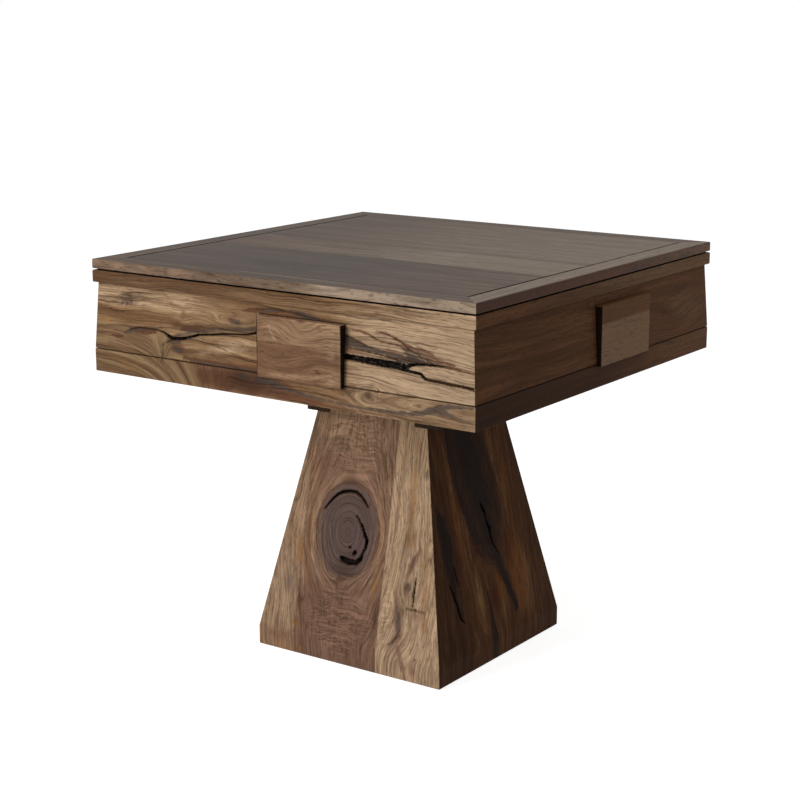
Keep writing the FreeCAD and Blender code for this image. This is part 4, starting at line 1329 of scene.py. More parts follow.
# Bright zinc-plated steel: pale metal with fine scratches and dull spots.
ZINC_STEEL = Speckled("zinc_steel", "steel", "C9CBCC", "A7A9A8", speck_mm=0.6, relief=0.03,
                      rough=(0.28, 0.48), shader=(("Metallic", 1.0),))
# Moulded black nylon: dense, faintly mottled, with an eggshell sheen.
NYLON = Speckled("moulded_nylon", "nylon", "211F1D", "38342F", speck_mm=1.8, relief=0.08,
                 rough=(0.46, 0.54), shader=(("IOR", 1.53),))
# Oiled walnut with sapwood: honey bands between sharp dark rings.
FRONT_WALNUT = Wood("walnut_front", "walnut_carcase", ("644830", "7A5C40", "8A6C50", "A0835F"),
                    late_wood=0.72, heart="51453D", russet="62402E", amber="90693A")
# Oiled heartwood walnut, straight and even: a deep red-brown with a quiet grain, darker partly as
# painted shade.
SHADED_SIDE_WALNUT = Wood("walnut_shaded_side", "walnut_carcase", ("5A3A23", "69462D", "765035", "835B3F"),
                   contrast=0.8, lustre=0.15, late_wood=0.3, specular=0.05, heart="4A3A32",
                   pale="8C6D50", amber="7E5A30", russet="56321F", line="26160D")
# Walnut under satin lacquer: it greys with the sheen of the sky at a flat angle.
# Its near-black colour for hollows is painted shade in the rebate, the groove and at the plank
# ends.
LID_WALNUT = Wood("walnut_lid", "walnut_lid", ("4A372A", "5A4637", "685443", "786250"),
                  contrast=0.9, roughness=0.55, specular=0.105, lustre=0.16, late_wood=0.26,
                  pale="958370", heart="3F342C", line="1C130E", grit="1C1512", crack_and_gap_shade="0C0807")
# Oiled curly walnut round a knot: pink-brown, with close rings that flow like water.
POST_WALNUT = Wood("walnut_pedestal", "walnut_pedestal", ("6A4E3C", "7D604D", "8D6F5A", "9F8169"),
                   ring=5.5, russet="825B4B", heart="5A4A46", pale="BB9E7E", late_wood=0.55,
                   grit="27221E")
# Oiled walnut heart close to the pith: nearly black streaks between amber ones.
DARK_WALNUT = Wood("walnut_pedestal_side", "walnut_pedestal",
                   ("4C2F1C", "5B3A23", "68452B", "77533A"), ring=5.5, heart="1E1411",
                   russet="4C2618", amber="82512A", pale="957048", late_wood=0.3, line="170E09",
                   specular=0.04)
# Oiled curly walnut in short blocks: soft wavy bands, so that each handle stands out.
# Its near-black line colour also paints shade at the ends of each block.
BLOCK_WALNUT = Wood("walnut_handle", "walnut_handle", ("614430", "70533D", "7E6048", "8C6E52"),
                    ring=7.0, run=14.0, contrast=0.75, russet="6B4634", heart="553E32",
                    pale="AC8C6E", late_wood=0.22, line="1C110B")
# Dark-stained walnut: almost black, with the grain just showing through.
BEARER_STAIN = Wood("stained_bearer", "walnut_bearer", ("2A1E17", "33251C", "3B2C22", "463529"),
                    relief=0.35, roughness=0.66)
# Waxed birch: pale and plain, with a soft sheen.
BIRCH = Wood("waxed_birch", "pale_wood", ("B3926A", "C2A47C", "CDB18B", "D8BF9C"), ring=9.0,
             contrast=0.7, lustre=0.06, late_wood=0.1, line="8F7350", relief=0.1, specular=0.3)
# Sanded birch plywood: a broad pale face with very soft bands.
PLY = Plywood("birch_plywood", "plywood", ("AD8A60", "BC9C72", "C8AA82", "D2B792"), contrast=0.6,
              ring=16.0, lustre=0.06, late_wood=0.1, line="8C7050", relief=0.1, specular=0.3)

Finish = Wood | Speckled


# -------- Meshes --------
class Side(Enum):
    """Side of the table, with how its face plane lies in the frame."""

    FRONT = "front"
    RIGHT = "right"
    BACK = "back"
    LEFT = "left"

    @property
    def turn(self) -> int:
        """Quarter turns from the front, seen from above and anticlockwise."""
        return list(Side).index(self)

    def place(self, u: Array, reach: Array, v: Array) -> Array:
        """Turns face-plane places into frame places.

        Args:
            u: Place along the side, to the right.
            reach: Distance out from the centre plane.
            v: Height.

        Returns:
            Rows of x, y and z.
        """
        x, y = {0: (u, -reach), 1: (reach, u), 2: (-u, reach), 3: (-reach, -u)}[self.turn]
        return np.stack([x, y, v + 0 * x], axis=1)

    def flatten(self, places: Array) -> tuple[Array, Array, Array]:
        """Turns frame places into face-plane places.

        Args:
            places: Rows of x, y and z.

        Returns:
            The place along the side, the distance out and the height of each.
        """
        x, y, z = places.T
        u, reach = {0: (x, -y), 1: (y, x), 2: (-x, y), 3: (-y, -x)}[self.turn]
        return u, reach, z


@dataclass
class Section:
    """Closed outline of a board across its length, as rows of height and reach."""

    height: Array
    reach: Array
    outer: Array
    face: Array

    @staticmethod
    def board(rows: Array, outer: Callable[[float], float], inner: Sequence[tuple[float, float]],
              arris: float, inner_arris: float = 0.0) -> "Section":
        """Builds the outline of a board with eased outer edges.

        Args:
            rows: Rising heights of the outer face, from bottom edge to top edge.
            outer: Function from height to the outer face's reach.
            inner: Height and reach of the back's corners, from top to bottom.
            arris: Radius of the two outer edges.
            inner_arris: Radius of the upper outer edge, where it differs.

        Returns:
            The outline, starting at the lower outer edge.
        """
        low, high = rows[0], rows[-1]
        top = inner_arris or arris
        turns = np.radians([90.0, 60.0, 30.0])
        height = [low + arris - arris * math.sin(t) for t in turns]
        reach = [float(outer(low)) - arris + arris * math.cos(t) for t in turns]
        middle = rows[(rows > low + arris) & (rows < high - top)]
        middle = np.concatenate([[low + arris], middle, [high - top]])
        height += [*middle, *(high - top + top * math.sin(t) for t in turns[::-1])]
        reach += [float(outer(v)) for v in middle]
        reach += [float(outer(high)) - top + top * math.cos(t) for t in turns[::-1]]
        place = np.arange(len(height) + len(inner))
        face = (place >= len(turns)) & (place < len(turns) + len(middle))
        rim = place < len(height)
        return Section(np.array([*height, *(v for v, _ in inner)]),
                       np.array([*reach, *(r for _, r in inner)]), rim * 1.0, face * 1.0)


CORNER_TURNS = np.radians([45.0, 30.0, 15.0])
Shape = tuple[Array, list[list[int]]]


def tube(count: int, rows: int, closed: bool = True) -> list[list[int]]:
    """Joins equal rings of points into a tube with a closed end.

    Args:
        count: Number of rings.
        rows: Points in each ring.
        closed: Whether the first end is closed too.

    Returns:
        The corner numbers of each face.
    """
    faces = [[c * rows + p, c * rows + (p + 1) % rows, (c + 1) * rows + (p + 1) % rows,
              (c + 1) * rows + p] for c in range(count - 1) for p in range(rows)]
    if closed:
        faces.append(list(range(rows))[::-1])
    faces.append([(count - 1) * rows + p for p in range(rows)])
    return faces


def mitred_loft(section: Section, columns: Array, arris: float, gap: float,
                figure: Figure) -> Shape:
    """Draws a board between two mitred ends, with its corner arrises eased.

    Args:
        section: Outline across the board.
        columns: Places along the board, from -1 to 1 of its length.
        arris: Radius of the upright edge that two boards share.
        gap: Distance that each end stays back from the mitre.
        figure: Figure whose cracks are cut into the outer face.

    Returns:
        Places as rows of u, reach and v, and the faces.
    """
    half = section.reach - gap
    shoulder = MITRE + (1 - MITRE) * section.outer
    layers: list[tuple[Array, Array]] = []
    for t in CORNER_TURNS:
        back = arris * (shoulder - math.sin(t))
        layers.append((back - half, section.reach - section.outer * arris * (1 - math.cos(t))))
    for place in columns:
        layers.append((place * (half - arris * shoulder), section.reach))
    for u, reach in layers[len(CORNER_TURNS) - 1::-1]:
        layers.append((-u, reach))
    u = np.concatenate([layer[0] for layer in layers])
    reach = np.concatenate([layer[1] for layer in layers])
    height = np.tile(section.height, len(layers))
    face = np.tile(section.face, len(layers))
    reach = reach - face * figure.read(u, height, reach).depth
    return np.stack([u, reach, height], axis=1), tube(len(layers), len(section.height))


def make_piece(name: str, places: Array, faces: list[list[int]],
               bevel: float = 0.0) -> bpy.types.Object:
    """Makes a mesh object from places in millimetres.

    Args:
        name: Name of the piece.
        places: Rows of x, y and z in the frame.
        faces: Corner numbers of each face.
        bevel: Radius that eases every sharp edge.

    Returns:
        The new object.
    """
    mesh = bpy.data.meshes.new(name)
    mesh.from_pydata((places * MM).tolist(), [], faces)
    work = bmesh.new()
    work.from_mesh(mesh)
    bmesh.ops.remove_doubles(work, verts=work.verts, dist=TOUCHING)
    bmesh.ops.recalc_face_normals(work, faces=work.faces)
    if bevel:
        sharp = [e for e in work.edges if e.calc_face_angle(0.0) > EASED_ANGLE]
        bmesh.ops.bevel(work, geom=sharp, offset=bevel * MM, segments=3, profile=0.5,
                        affect="EDGES", clamp_overlap=True)
    work.to_mesh(mesh)
    work.free()
    mesh.shade_smooth()
    mesh.set_sharp_from_angle(angle=SHARP_ANGLE)
    return stand(name, mesh)


def prism(outline: Sequence[tuple[float, float]], places: Sequence[float], step: float) -> Shape:
    """Draws a straight length of one outline, with square ends.

    Args:
        outline: Corners as height and reach.
        places: Places along the length.
        step: Greatest distance between rows round the outline.

    Returns:
        Places as rows of u, reach and v, and the faces.
    """
    ring: list[tuple[float, float]] = []
    for (v0, r0), (v1, r1) in zip(outline, [*outline[1:], outline[0]]):
        parts = max(1, math.ceil(math.hypot(v1 - v0, r1 - r0) / step))
        ring += [(v0 + (v1 - v0) * k / parts, r0 + (r1 - r0) * k / parts) for k in range(parts)]
    points = [(u, r, v) for u in places for v, r in ring]
    return np.array(points, float), tube(len(places), len(ring))


class Axis(Enum):
    """What stays the same along an edge; two boards of a mitre share the corner."""

    U = "u"
    REACH = "reach"
    V = "v"
    CORNER = "corner"


@dataclass(frozen=True)
class Edge:
    """Line along a board, outside an inner limit, lightened as wear and painted highlight, or
    darkened as painted shade.
    """

    axis: Axis
    place: float = 0.0
    tone: Tone = WEAR_AND_HIGHLIGHT
    reach: float = 2.0
    amount: float = 1.0
    inner: float = 0.0


@dataclass(frozen=True)
class Board:
    """Where a modelled board belongs, what it is made of and what marks it."""

    node: str
    body: str
    wood: Wood
    side: Side
    figure: Figure
    flat: bool = False


def carry_figure(piece: bpy.types.Object, board: Board, edges: Sequence[Edge],
                 gap_shade: Callable[[Array, Array], Array] | None) -> None:
    """Stores the grain and the tones of a board on its mesh, for its finish to read.

    Args:
        piece: The mesh object.
        board: What it is.
        edges: Edges lightened as wear and painted highlight, and edges darkened as painted shade.
        gap_shade: Says by distance out and height where the face is painted near black, as shade in
            a gap or groove.
    """
    places = np.empty(len(piece.data.vertices) * 3, np.float32)
    piece.data.vertices.foreach_get("co", places)
    u, reach, v = board.side.flatten(places.reshape(-1, 3).astype(float) / MM)
    field = board.figure.read(u, *((reach, v) if board.flat else (v, reach)))
    lines = {Axis.U: u, Axis.REACH: reach, Axis.V: v, Axis.CORNER: np.abs(u) - reach}
    for index, edge in enumerate(edges):
        near = smooth(1 - np.abs(lines[edge.axis] - edge.place) / edge.reach)
        # Hands rub an edge more in some places than in others; the painted highlight and shade vary
        # alike.
        near *= edge.amount * (0.75 + 0.25 * waver(u, v + reach, 60.0, index))
        near *= reach > edge.inner
        field.mark(edge.tone, near)
    if gap_shade:
        # Painted shade: near black where a gap or groove lies over the face.
        field.mark(CRACK_AND_GAP_SHADE, 0.9 * gap_shade(np.maximum(abs(u), abs(reach)), v))
    sets = {"grain": np.stack([field.along, field.across, field.through]) * MM}
    for number, name in enumerate(TONE_SETS):
        sets[name] = field.tones[3 * number:3 * number + 3]
    for name, values in sets.items():
        layer = piece.data.attributes.new(name=name, type="FLOAT_VECTOR", domain="POINT")
        layer.data.foreach_set("vector", np.ascontiguousarray(values.T, np.float32).ravel())


@dataclass
class Workshop:
    """Keeps one copy of each finish, and joins new pieces to the frame."""

    nodes: dict[str, bpy.types.Object]
    finishes: dict[str, bpy.types.Material]

    def finish(self, wood: Finish, source: Source | None) -> bpy.types.Material:
        """Returns the material of a finish, built once.

        Args:
            wood: The finish.
            source: Grain direction, for wood.

        Returns:
            Its material.
        """
        key = f"{wood.name}_{source}"
        if key not in self.finishes:
            self.finishes[key] = wood.material(source) if source else wood.material()
        return self.finishes[key]

    def dress(self, wood: Finish, source: Source | None, *names: str) -> None:
        """Gives carried-over nodes their finish.

        Args:
            wood: The finish.
            source: Grain direction, for wood.
            names: Names of the CAD nodes.
        """
        for name in names:
            node = self.nodes[name]
            node.data.materials.clear()
            node.data.materials.append(self.finish(wood, source))
            if source:
                node.modifiers.new("weld", "WELD").merge_threshold = SAME_PLACE * MM
                ease = node.modifiers.new("ease", "BEVEL")
                ease.width = SANDED_EDGE * MM
                ease.segments = 2
                ease.limit_method = "ANGLE"
                ease.angle_limit = SANDED_ANGLE
            LOG.info("%s: dressed with %s", name, wood.name)

    def join(self, piece: bpy.types.Object, body: str, node: str, wood: Finish,
             source: Source | None = None) -> None:
        """Gives a modelled piece its finish and puts it in place of its CAD node.

        Args:
            piece: The modelled piece.
            body: Body that it rides on.
            node: CAD node that it stands for.
            wood: The finish.
            source: Grain direction, for wood.
        """
        piece.data.materials.append(self.finish(wood, source))
        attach(piece, body)
        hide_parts(node)
        LOG.info("%s: %d faces", piece.name, len(piece.data.polygons))

    def make(self, board: Board, shape: Shape, edges: Sequence[Edge] = (),
             gap_shade: Callable[[Array, Array], Array] | None = None, bevel: float = 0.0) -> None:
        """Makes a board and puts it in place of its CAD node.

        Args:
            board: What it is.
            shape: Its places and faces.
            edges: Edges lightened as wear and painted highlight, and edges darkened as painted
                shade.
            gap_shade: Says by distance out and height where it is painted near black, as shade in a
                gap or groove.
            bevel: Radius that eases every sharp edge.
        """
        places, faces = shape
        piece = make_piece(f"{board.node}_modelled", board.side.place(*places.T), faces, bevel)
        carry_figure(piece, board, edges, gap_shade)
        self.join(piece, board.body, board.node, board.wood, Source.FIGURE)


# Stretches of a side, from one place to another.
Spans = tuple[tuple[float, float], ...]


@dataclass(frozen=True)
class SideLook:
    """Figure and finish of one side, with the spacing of its mesh and the spans of fine detail."""

    figure: Figure
    wood: Wood
    step: float = 3.0
    fine_u: Spans = ()
    fine_v: Spans = ()


SIDE_LOOKS = {
    Side.FRONT: SideLook(FRONT_FIGURE, FRONT_WALNUT, 2.0, ((-256, -150), (256, 330)),
                         ((618, 664),)),
    Side.RIGHT: SideLook(RIGHT_FIGURE, SHADED_SIDE_WALNUT, 4.0),
    Side.BACK: SideLook(BACK_FIGURE, FRONT_WALNUT, 3.0, (), ((626, 646),)),
    Side.LEFT: SideLook(LEFT_FIGURE, FRONT_WALNUT, 3.0, (), ((684, 704),)),
}
PANEL_LOOKS = {
    Side.FRONT: SideLook(PEDESTAL_FRONT, POST_WALNUT, 2.6, ((-92, 34), (117, 142)), ((182, 334),)),
    Side.RIGHT: SideLook(PEDESTAL_RIGHT, DARK_WALNUT, 2.8, ((-142, -104), (-4, 42)),
                         ((92, 204), (212, 300))),
    Side.BACK: SideLook(PEDESTAL_BACK, POST_WALNUT, 3.2),
    Side.LEFT: SideLook(PEDESTAL_LEFT, POST_WALNUT, 3.2),
}


# -------- Pedestal --------
@dataclass
class Pedestal:
    """Hollow tapered column on an upright plinth, with two dark bearers let into its top."""

    shop: Workshop
    base_half: float = 210.0
    foot: float = 2.0
    plinth: float = 39.0
    neck_half: float = 126.0
    neck_level: float = 459.0
    underside: float = 552.7
    board: float = 25.0
    tongue_half: float = 97.0
    bearer_outer: float = 150.0
    arris: float = 2.0
    neck_arris: float = 0.5
    fine_step: float = 1.2

    def outer(self, height: float) -> float:
        """Reach of the outer face at a height."""
        taper = (self.base_half - self.neck_half) / (self.neck_level - self.plinth)
        return self.base_half - taper * max(height - self.plinth, 0.0)

    def panel(self, side: Side) -> None:
        """Builds one mitred panel, with a tongue up between the bearers at front and back.

        Args:
            side: Side that it closes.
        """
        look = PANEL_LOOKS[side]
        kink = (self.plinth - 3.0, self.plinth + 3.0)
        rows = spread(self.foot, self.neck_level, look.step, [*look.fine_v, kink], self.fine_step)
        rows = np.sort(np.append(rows, self.plinth))
        inner = [(self.neck_level, self.neck_half - self.board),
                 (self.plinth, self.base_half - self.board),
                 (self.foot, self.base_half - self.board)]
        section = Section.board(rows, self.outer, inner, self.arris, self.neck_arris)
        columns = spread(-self.base_half, self.base_half, look.step, look.fine_u, self.fine_step)
        places, faces = mitred_loft(section, columns / self.base_half, self.arris, HAIR_GAP,
                                    look.figure)
        if side in (Side.FRONT, Side.BACK):
            reach, top = self.outer(self.underside), self.underside - SEAM_GAP
            tongue = [(self.neck_level, self.neck_half), (top, reach), (top, reach - self.board),
                      (self.neck_level, self.neck_half - self.board)]
            more, extra = prism(tongue, np.linspace(-self.tongue_half, self.tongue_half, 40),
                                step=6.0)
            faces += [[corner + len(places) for corner in face] for face in extra]
            places = np.concatenate([places, more])
        # Corner and foot edges are rubbed light, partly as a painted highlight.
        self.shop.make(Board(f"pedestal_{side.value}_panel", "frame", look.wood, side,
                             look.figure), (places, faces),
                       [Edge(Axis.V, self.foot), Edge(Axis.CORNER, reach=3.5, amount=0.8)])

    def bearer(self, side: Side) -> None:
        """Builds one stained beam with rounded lower edges.

        Args:
            side: LEFT or RIGHT.
        """
        outline = [(self.neck_level, self.tongue_half), (self.neck_level, self.bearer_outer),
                   (self.underside, self.bearer_outer), (self.underside, self.tongue_half)]
        shape = prism(outline, np.linspace(-self.neck_half, self.neck_half, 24), step=12.0)
        self.shop.make(Board(f"{side.value}_bearer", "frame", BEARER_STAIN, side,
                             Figure(seed=20 + side.turn)), shape, bevel=1.5)

    def build(self) -> None:
        """Builds the four panels and the bearers, and dresses what is inside."""
        for side in Side:
            self.panel(side)
        self.bearer(Side.LEFT)
        self.bearer(Side.RIGHT)
        self.shop.dress(PLY, Source.ALONG_X, "pedestal_floor_board", "pedestal_neck_plate")
        self.shop.dress(BIRCH, Source.ALONG_Z, "pedestal_corner_blocks", "bearer_dowels")
        self.shop.dress(NYLON, None, "floor_glides")


# -------- Carcase --------
class Level(Enum):
    """Where a rail lies, under the drawers or over them."""

    LOWER = "lower"
    UPPER = "upper"


@dataclass
class Carcase:
    """Fixed box of the table: rails, posts, partitions, runners and the playing board."""

    shop: Workshop
    half: float = 415.0
    rail_inner: float = 391.0
    underside: float = 552.7
    lower_top: float = 594.7
    upper_bottom: float = 717.7
    upper_top: float = 739.7
    gap_depth: float = 8.0
    arris: float = 1.3
    cloth_half: float = 390.5
    cloth_bottom: float = 730.7
    cloth_thickness: float = 1.5

    def rail(self, side: Side, level: Level, low: float, high: float) -> None:
        """Builds one mitred rail with eased edges.

        Args:
            side: Side of the table.
            level: Under or over the drawers.
            low: Its bottom.
            high: Its top.
        """
        look = SIDE_LOOKS[side]
        rows = spread(low, high, look.step)
        inner = [(high, self.half - STRIP), (high, self.half - self.gap_depth),
                 (high, self.half - self.gap_depth - 0.6), (high, self.rail_inner),
                 (low, self.rail_inner), (low, self.half - STRIP)]
        section = Section.board(rows, lambda v: self.half, inner, self.arris)
        columns = spread(-self.half, self.half, look.step + 0.5) / self.half
        shape = mitred_loft(section, columns, self.arris, HAIR_GAP, look.figure)
        # Painted shade: the top of the upper rail is painted near black where it lies in the gap
        # below the lid.
        shown = self.half - EDGE_MARK_REACH
        # Lower rail: a line of painted shade along its top edge, under the drawer.
        # Other edges are rubbed light, partly as a painted highlight.
        top = Edge(Axis.V, high, LINE if level is Level.LOWER else WEAR_AND_HIGHLIGHT, reach=1.6, inner=shown)
        self.shop.make(Board(f"{level.value}_rail_{side.value}", "frame", look.wood, side,
                             look.figure), shape,
                       [Edge(Axis.CORNER), Edge(Axis.V, low, inner=shown), top],
                       lambda out, v: (out < shown) & (out > shown - self.gap_depth + 1.8)
                       & (v > self.upper_top - 0.1))

    def cloth(self) -> None:
        """Lays the baize flat on the playing board, with its cut edge rolled over."""
        roll = self.cloth_thickness
        steps = np.linspace(-1.0, 1.0, 61)
        top = self.cloth_bottom + roll
        # Distance in from the edge, and depth below the top: only the edge itself rolls over.
        insets = [(0.0, roll), (0.0, 0.6 * roll), (0.35, 0.2 * roll), (1.1, 0.0)]
        insets += [(inset, 0.0) for inset in np.arange(3.0, self.cloth_half, 24.0)]
        places = []
        for inset, drop in insets:
            half = self.cloth_half - inset
            for a, b in ((steps, -1), (1, steps), (-steps, 1), (-1, -steps)):
                x = np.broadcast_to(a, steps.shape)[:-1] * half
                y = np.broadcast_to(b, steps.shape)[:-1] * half
                places += [(p, q, top - drop) for p, q in zip(x, y)]
        faces = tube(len(insets), 4 * (len(steps) - 1), closed=False)
        piece = make_piece("baize_sheet", np.array(places), faces)
        self.shop.join(piece, "frame", "playing_cloth", BAIZE)

    def build(self) -> None:
        """Builds the rails and the cloth, and dresses the boards inside."""
        for side in Side:
            self.rail(side, Level.LOWER, self.underside, self.lower_top)
            self.rail(side, Level.UPPER, self.upper_bottom, self.upper_top)
        self.cloth()
        self.shop.dress(PLY, Source.ALONG_X, "carcase_bottom_panel", "playing_board")
        self.shop.dress(BIRCH, Source.ALONG_Z, "corner_posts")
        self.shop.dress(BIRCH, Source.ALONG_X, "drawer_partitions", "drawer_runners")
        self.shop.dress(ZINC_STEEL, None, "carcase_screws")


# -------- Drawers --------
@dataclass
class Drawer:
    """Drawer with a leaning mitred front, a handle block and a birch box."""

    shop: Workshop
    side: Side
    half: float = 415.0
    back_face: float = 391.5
    bottom: float = 595.7
    top: float = 716.7
    lean: float = 7.0
    mitre_gap: float = 0.6
    arris: float = 1.3
    block_left: float = -24.0
    block_right: float = 156.0
    block_bottom: float = 591.7
    block_top: float = 697.7
    block_face: float = 423.0
    hang_gap: float = 0.6
    block_ease: float = 1.1

    def outer(self, height: float) -> float:
        """Reach of the leaning front at a height."""
        return self.half - self.lean * (height - self.bottom) / (self.top - self.bottom)

    def front(self) -> None:
        """Builds the front board, with its cracks cut in."""
        look = SIDE_LOOKS[self.side]
        rows = spread(self.bottom, self.top, look.step, look.fine_v)
        inner = [(self.top, self.outer(self.top) - STRIP), (self.top, self.back_face),
                 (self.bottom, self.back_face), (self.bottom, self.half - STRIP)]
        section = Section.board(rows, self.outer, inner, self.arris)
        columns = spread(-self.half, self.half, look.step, look.fine_u, fine_step=1.3)
        shape = mitred_loft(section, columns / self.half, self.arris, self.mitre_gap, look.figure)
        body = f"{self.side.value}_drawer"
        # Painted shade lines the bottom edge over the lower rail.
        # The corner and top edges are rubbed light, partly as a painted highlight.
        self.shop.make(Board(f"{body}_front", body, look.wood, self.side, look.figure), shape,
                       [Edge(Axis.CORNER),
                        Edge(Axis.V, self.bottom, LINE, reach=1.6, inner=self.half - EDGE_MARK_REACH),
                        Edge(Axis.V, self.top, inner=self.outer(self.top) - EDGE_MARK_REACH)])

    def handle(self) -> None:
        """Builds the handle block, with a lip that hangs before the lower rail."""
        hung = self.half + self.hang_gap
        left, right, top = self.block_left, self.block_right, self.block_top
        outline = [(self.block_bottom, hung), (self.block_bottom, self.block_face),
                   (top, self.block_face), (top, self.outer(top)), (self.bottom, self.half),
                   (self.bottom, hung)]
        body = f"{self.side.value}_drawer"
        # Each end of the block is painted dark, partly as painted shade, beside an arris rubbed
        # light;
        # the top edge is rubbed light too, partly as a painted highlight.
        self.shop.make(Board(f"{body}_handle", body, BLOCK_WALNUT, self.side,
                             BLOCK_FIGURES[self.side.value]),
                       prism(outline, np.linspace(left, right, 61), step=3.0),
                       [Edge(Axis.U, left, LINE, reach=1.2, amount=1.4),
                        Edge(Axis.U, right, LINE, reach=1.2, amount=1.4),
                        Edge(Axis.U, left + 1.9, reach=1.0), Edge(Axis.U, right - 1.9, reach=1.0),
                        Edge(Axis.V, top, reach=1.5)], bevel=self.block_ease)

    def build(self) -> None:
        """Builds front and handle, and dresses the box and its screws."""
        self.front()
        self.handle()
        body = f"{self.side.value}_drawer"
        along, inward = Source.ALONG_X, Source.ALONG_Y
        if self.side in (Side.RIGHT, Side.LEFT):
            along, inward = inward, along
        self.shop.dress(BIRCH, inward, f"{body}_sides")
        self.shop.dress(BIRCH, along, f"{body}_back")
        self.shop.dress(PLY, along, f"{body}_bottom")
        self.shop.dress(ZINC_STEEL, None, f"{body}_handle_screws")


# -------- Lid --------
# On the lid the face plane lies flat: the second coordinate is the distance out from the centre.
LID_FIGURES = {
    "lid_frame_front": Figure(seed=30, marks=(
        Fade(SHADE, 300, 408, ((-415, 0.4), (0, 0.35), (200, 0.2), (415, 0.1)), 6),
        Fade(PALE, 412, 430, ((-415, 0.33), (-150, 0.24), (60, 0.3), (110, 0.6), (415, 0.75))),
        Fade(HEART, 412, 430, ((-240, 0), (-130, 0.2), (40, 0.25), (90, 0))),
        Fade(RUSSET, 412, 430, ((-415, 0.3), (0, 0.1), (200, 0))),
        Vein(PALE, ((-120, 374, 2), (0, 374, 4), (130, 374, 2)), 1.2, 3),
        Vein(HEART, ((-240, 398, 4), (-100, 400, 12), (60, 404, 6)), 0.5, 8))),
    "lid_frame_right": Figure(seed=31, marks=(
        Fade(PALE, 300, 412, ((-415, 0.55), (0, 0.75), (415, 0.8)), 4),
        Fade(SHADE, 412, 430, ((-415, 0.75), (-100, 0.4), (415, 0))),
        Fade(PALE, 412, 430, ((-100, 0.1), (415, 0.5))),
        Fade(RUSSET, 412, 430, ((-415, 1), (415, 0.4))))),
    "lid_frame_back": Figure(seed=32, marks=(
        Fade(HEART, 300, 430, ((-415, 0.2), (415, 0.35)), 4),)),
    "lid_frame_left": Figure(seed=33, marks=(
        Fade(HEART, 300, 430, ((-415, 0.4), (415, 0.3)), 4),)),
    "lid_plank_front": Figure(seed=34, marks=(
        Fade(HEART, 110, 380, ((-380, 0.4), (60, 0.5), (200, 0.3), (380, 0.15)), 3),
        Fade(SHADE, 110, 380, ((-380, 0.35), (-60, 0.4), (180, 0.2), (380, 0.08)), 3),
        Patch(SHADE, -110, 260, 230, 80, 0.65),
        Patch(HEART, -60, 300, 260, 60, 0.7),
        thread(0.5, 6, (-270, 244), (-150, 240), (0, 262), (120, 292), width=3),
        Vein(PALE, ((-220, 330, 4), (0, 300, 14), (240, 316, 4)), 0.3, 12))),
    "lid_plank_middle": Figure(seed=35, marks=(
        Fade(PALE, -30, 125, ((-380, 0.1), (-60, 0.35), (120, 0.7), (380, 0.75)), 3),
        Vein(HEART, ((60, 66, 3), (200, 58, 10), (360, 50, 6)), 0.5, 8),
        Vein(HEART, ((-120, 44, 4), (-100, 40, 16), (-60, 44, 3)), 0.6, 10),
        Knot(-268, 97, 6, 5))),
    "lid_plank_rear": Figure(seed=36, marks=(
        Fade(PALE, -380, -15, ((-380, 0), (0, 0.5), (380, 0.7)), 3),
        Fade(SHADE, -40, -15, ((-380, 0.2), (0, 0.35), (380, 0.4)), 8),
        Fade(HEART, -380, -15, ((-380, 0.4), (0, 0.2)), 3),
        Patch(PALE, 310, -225, 60, 40, 0.6))),
}


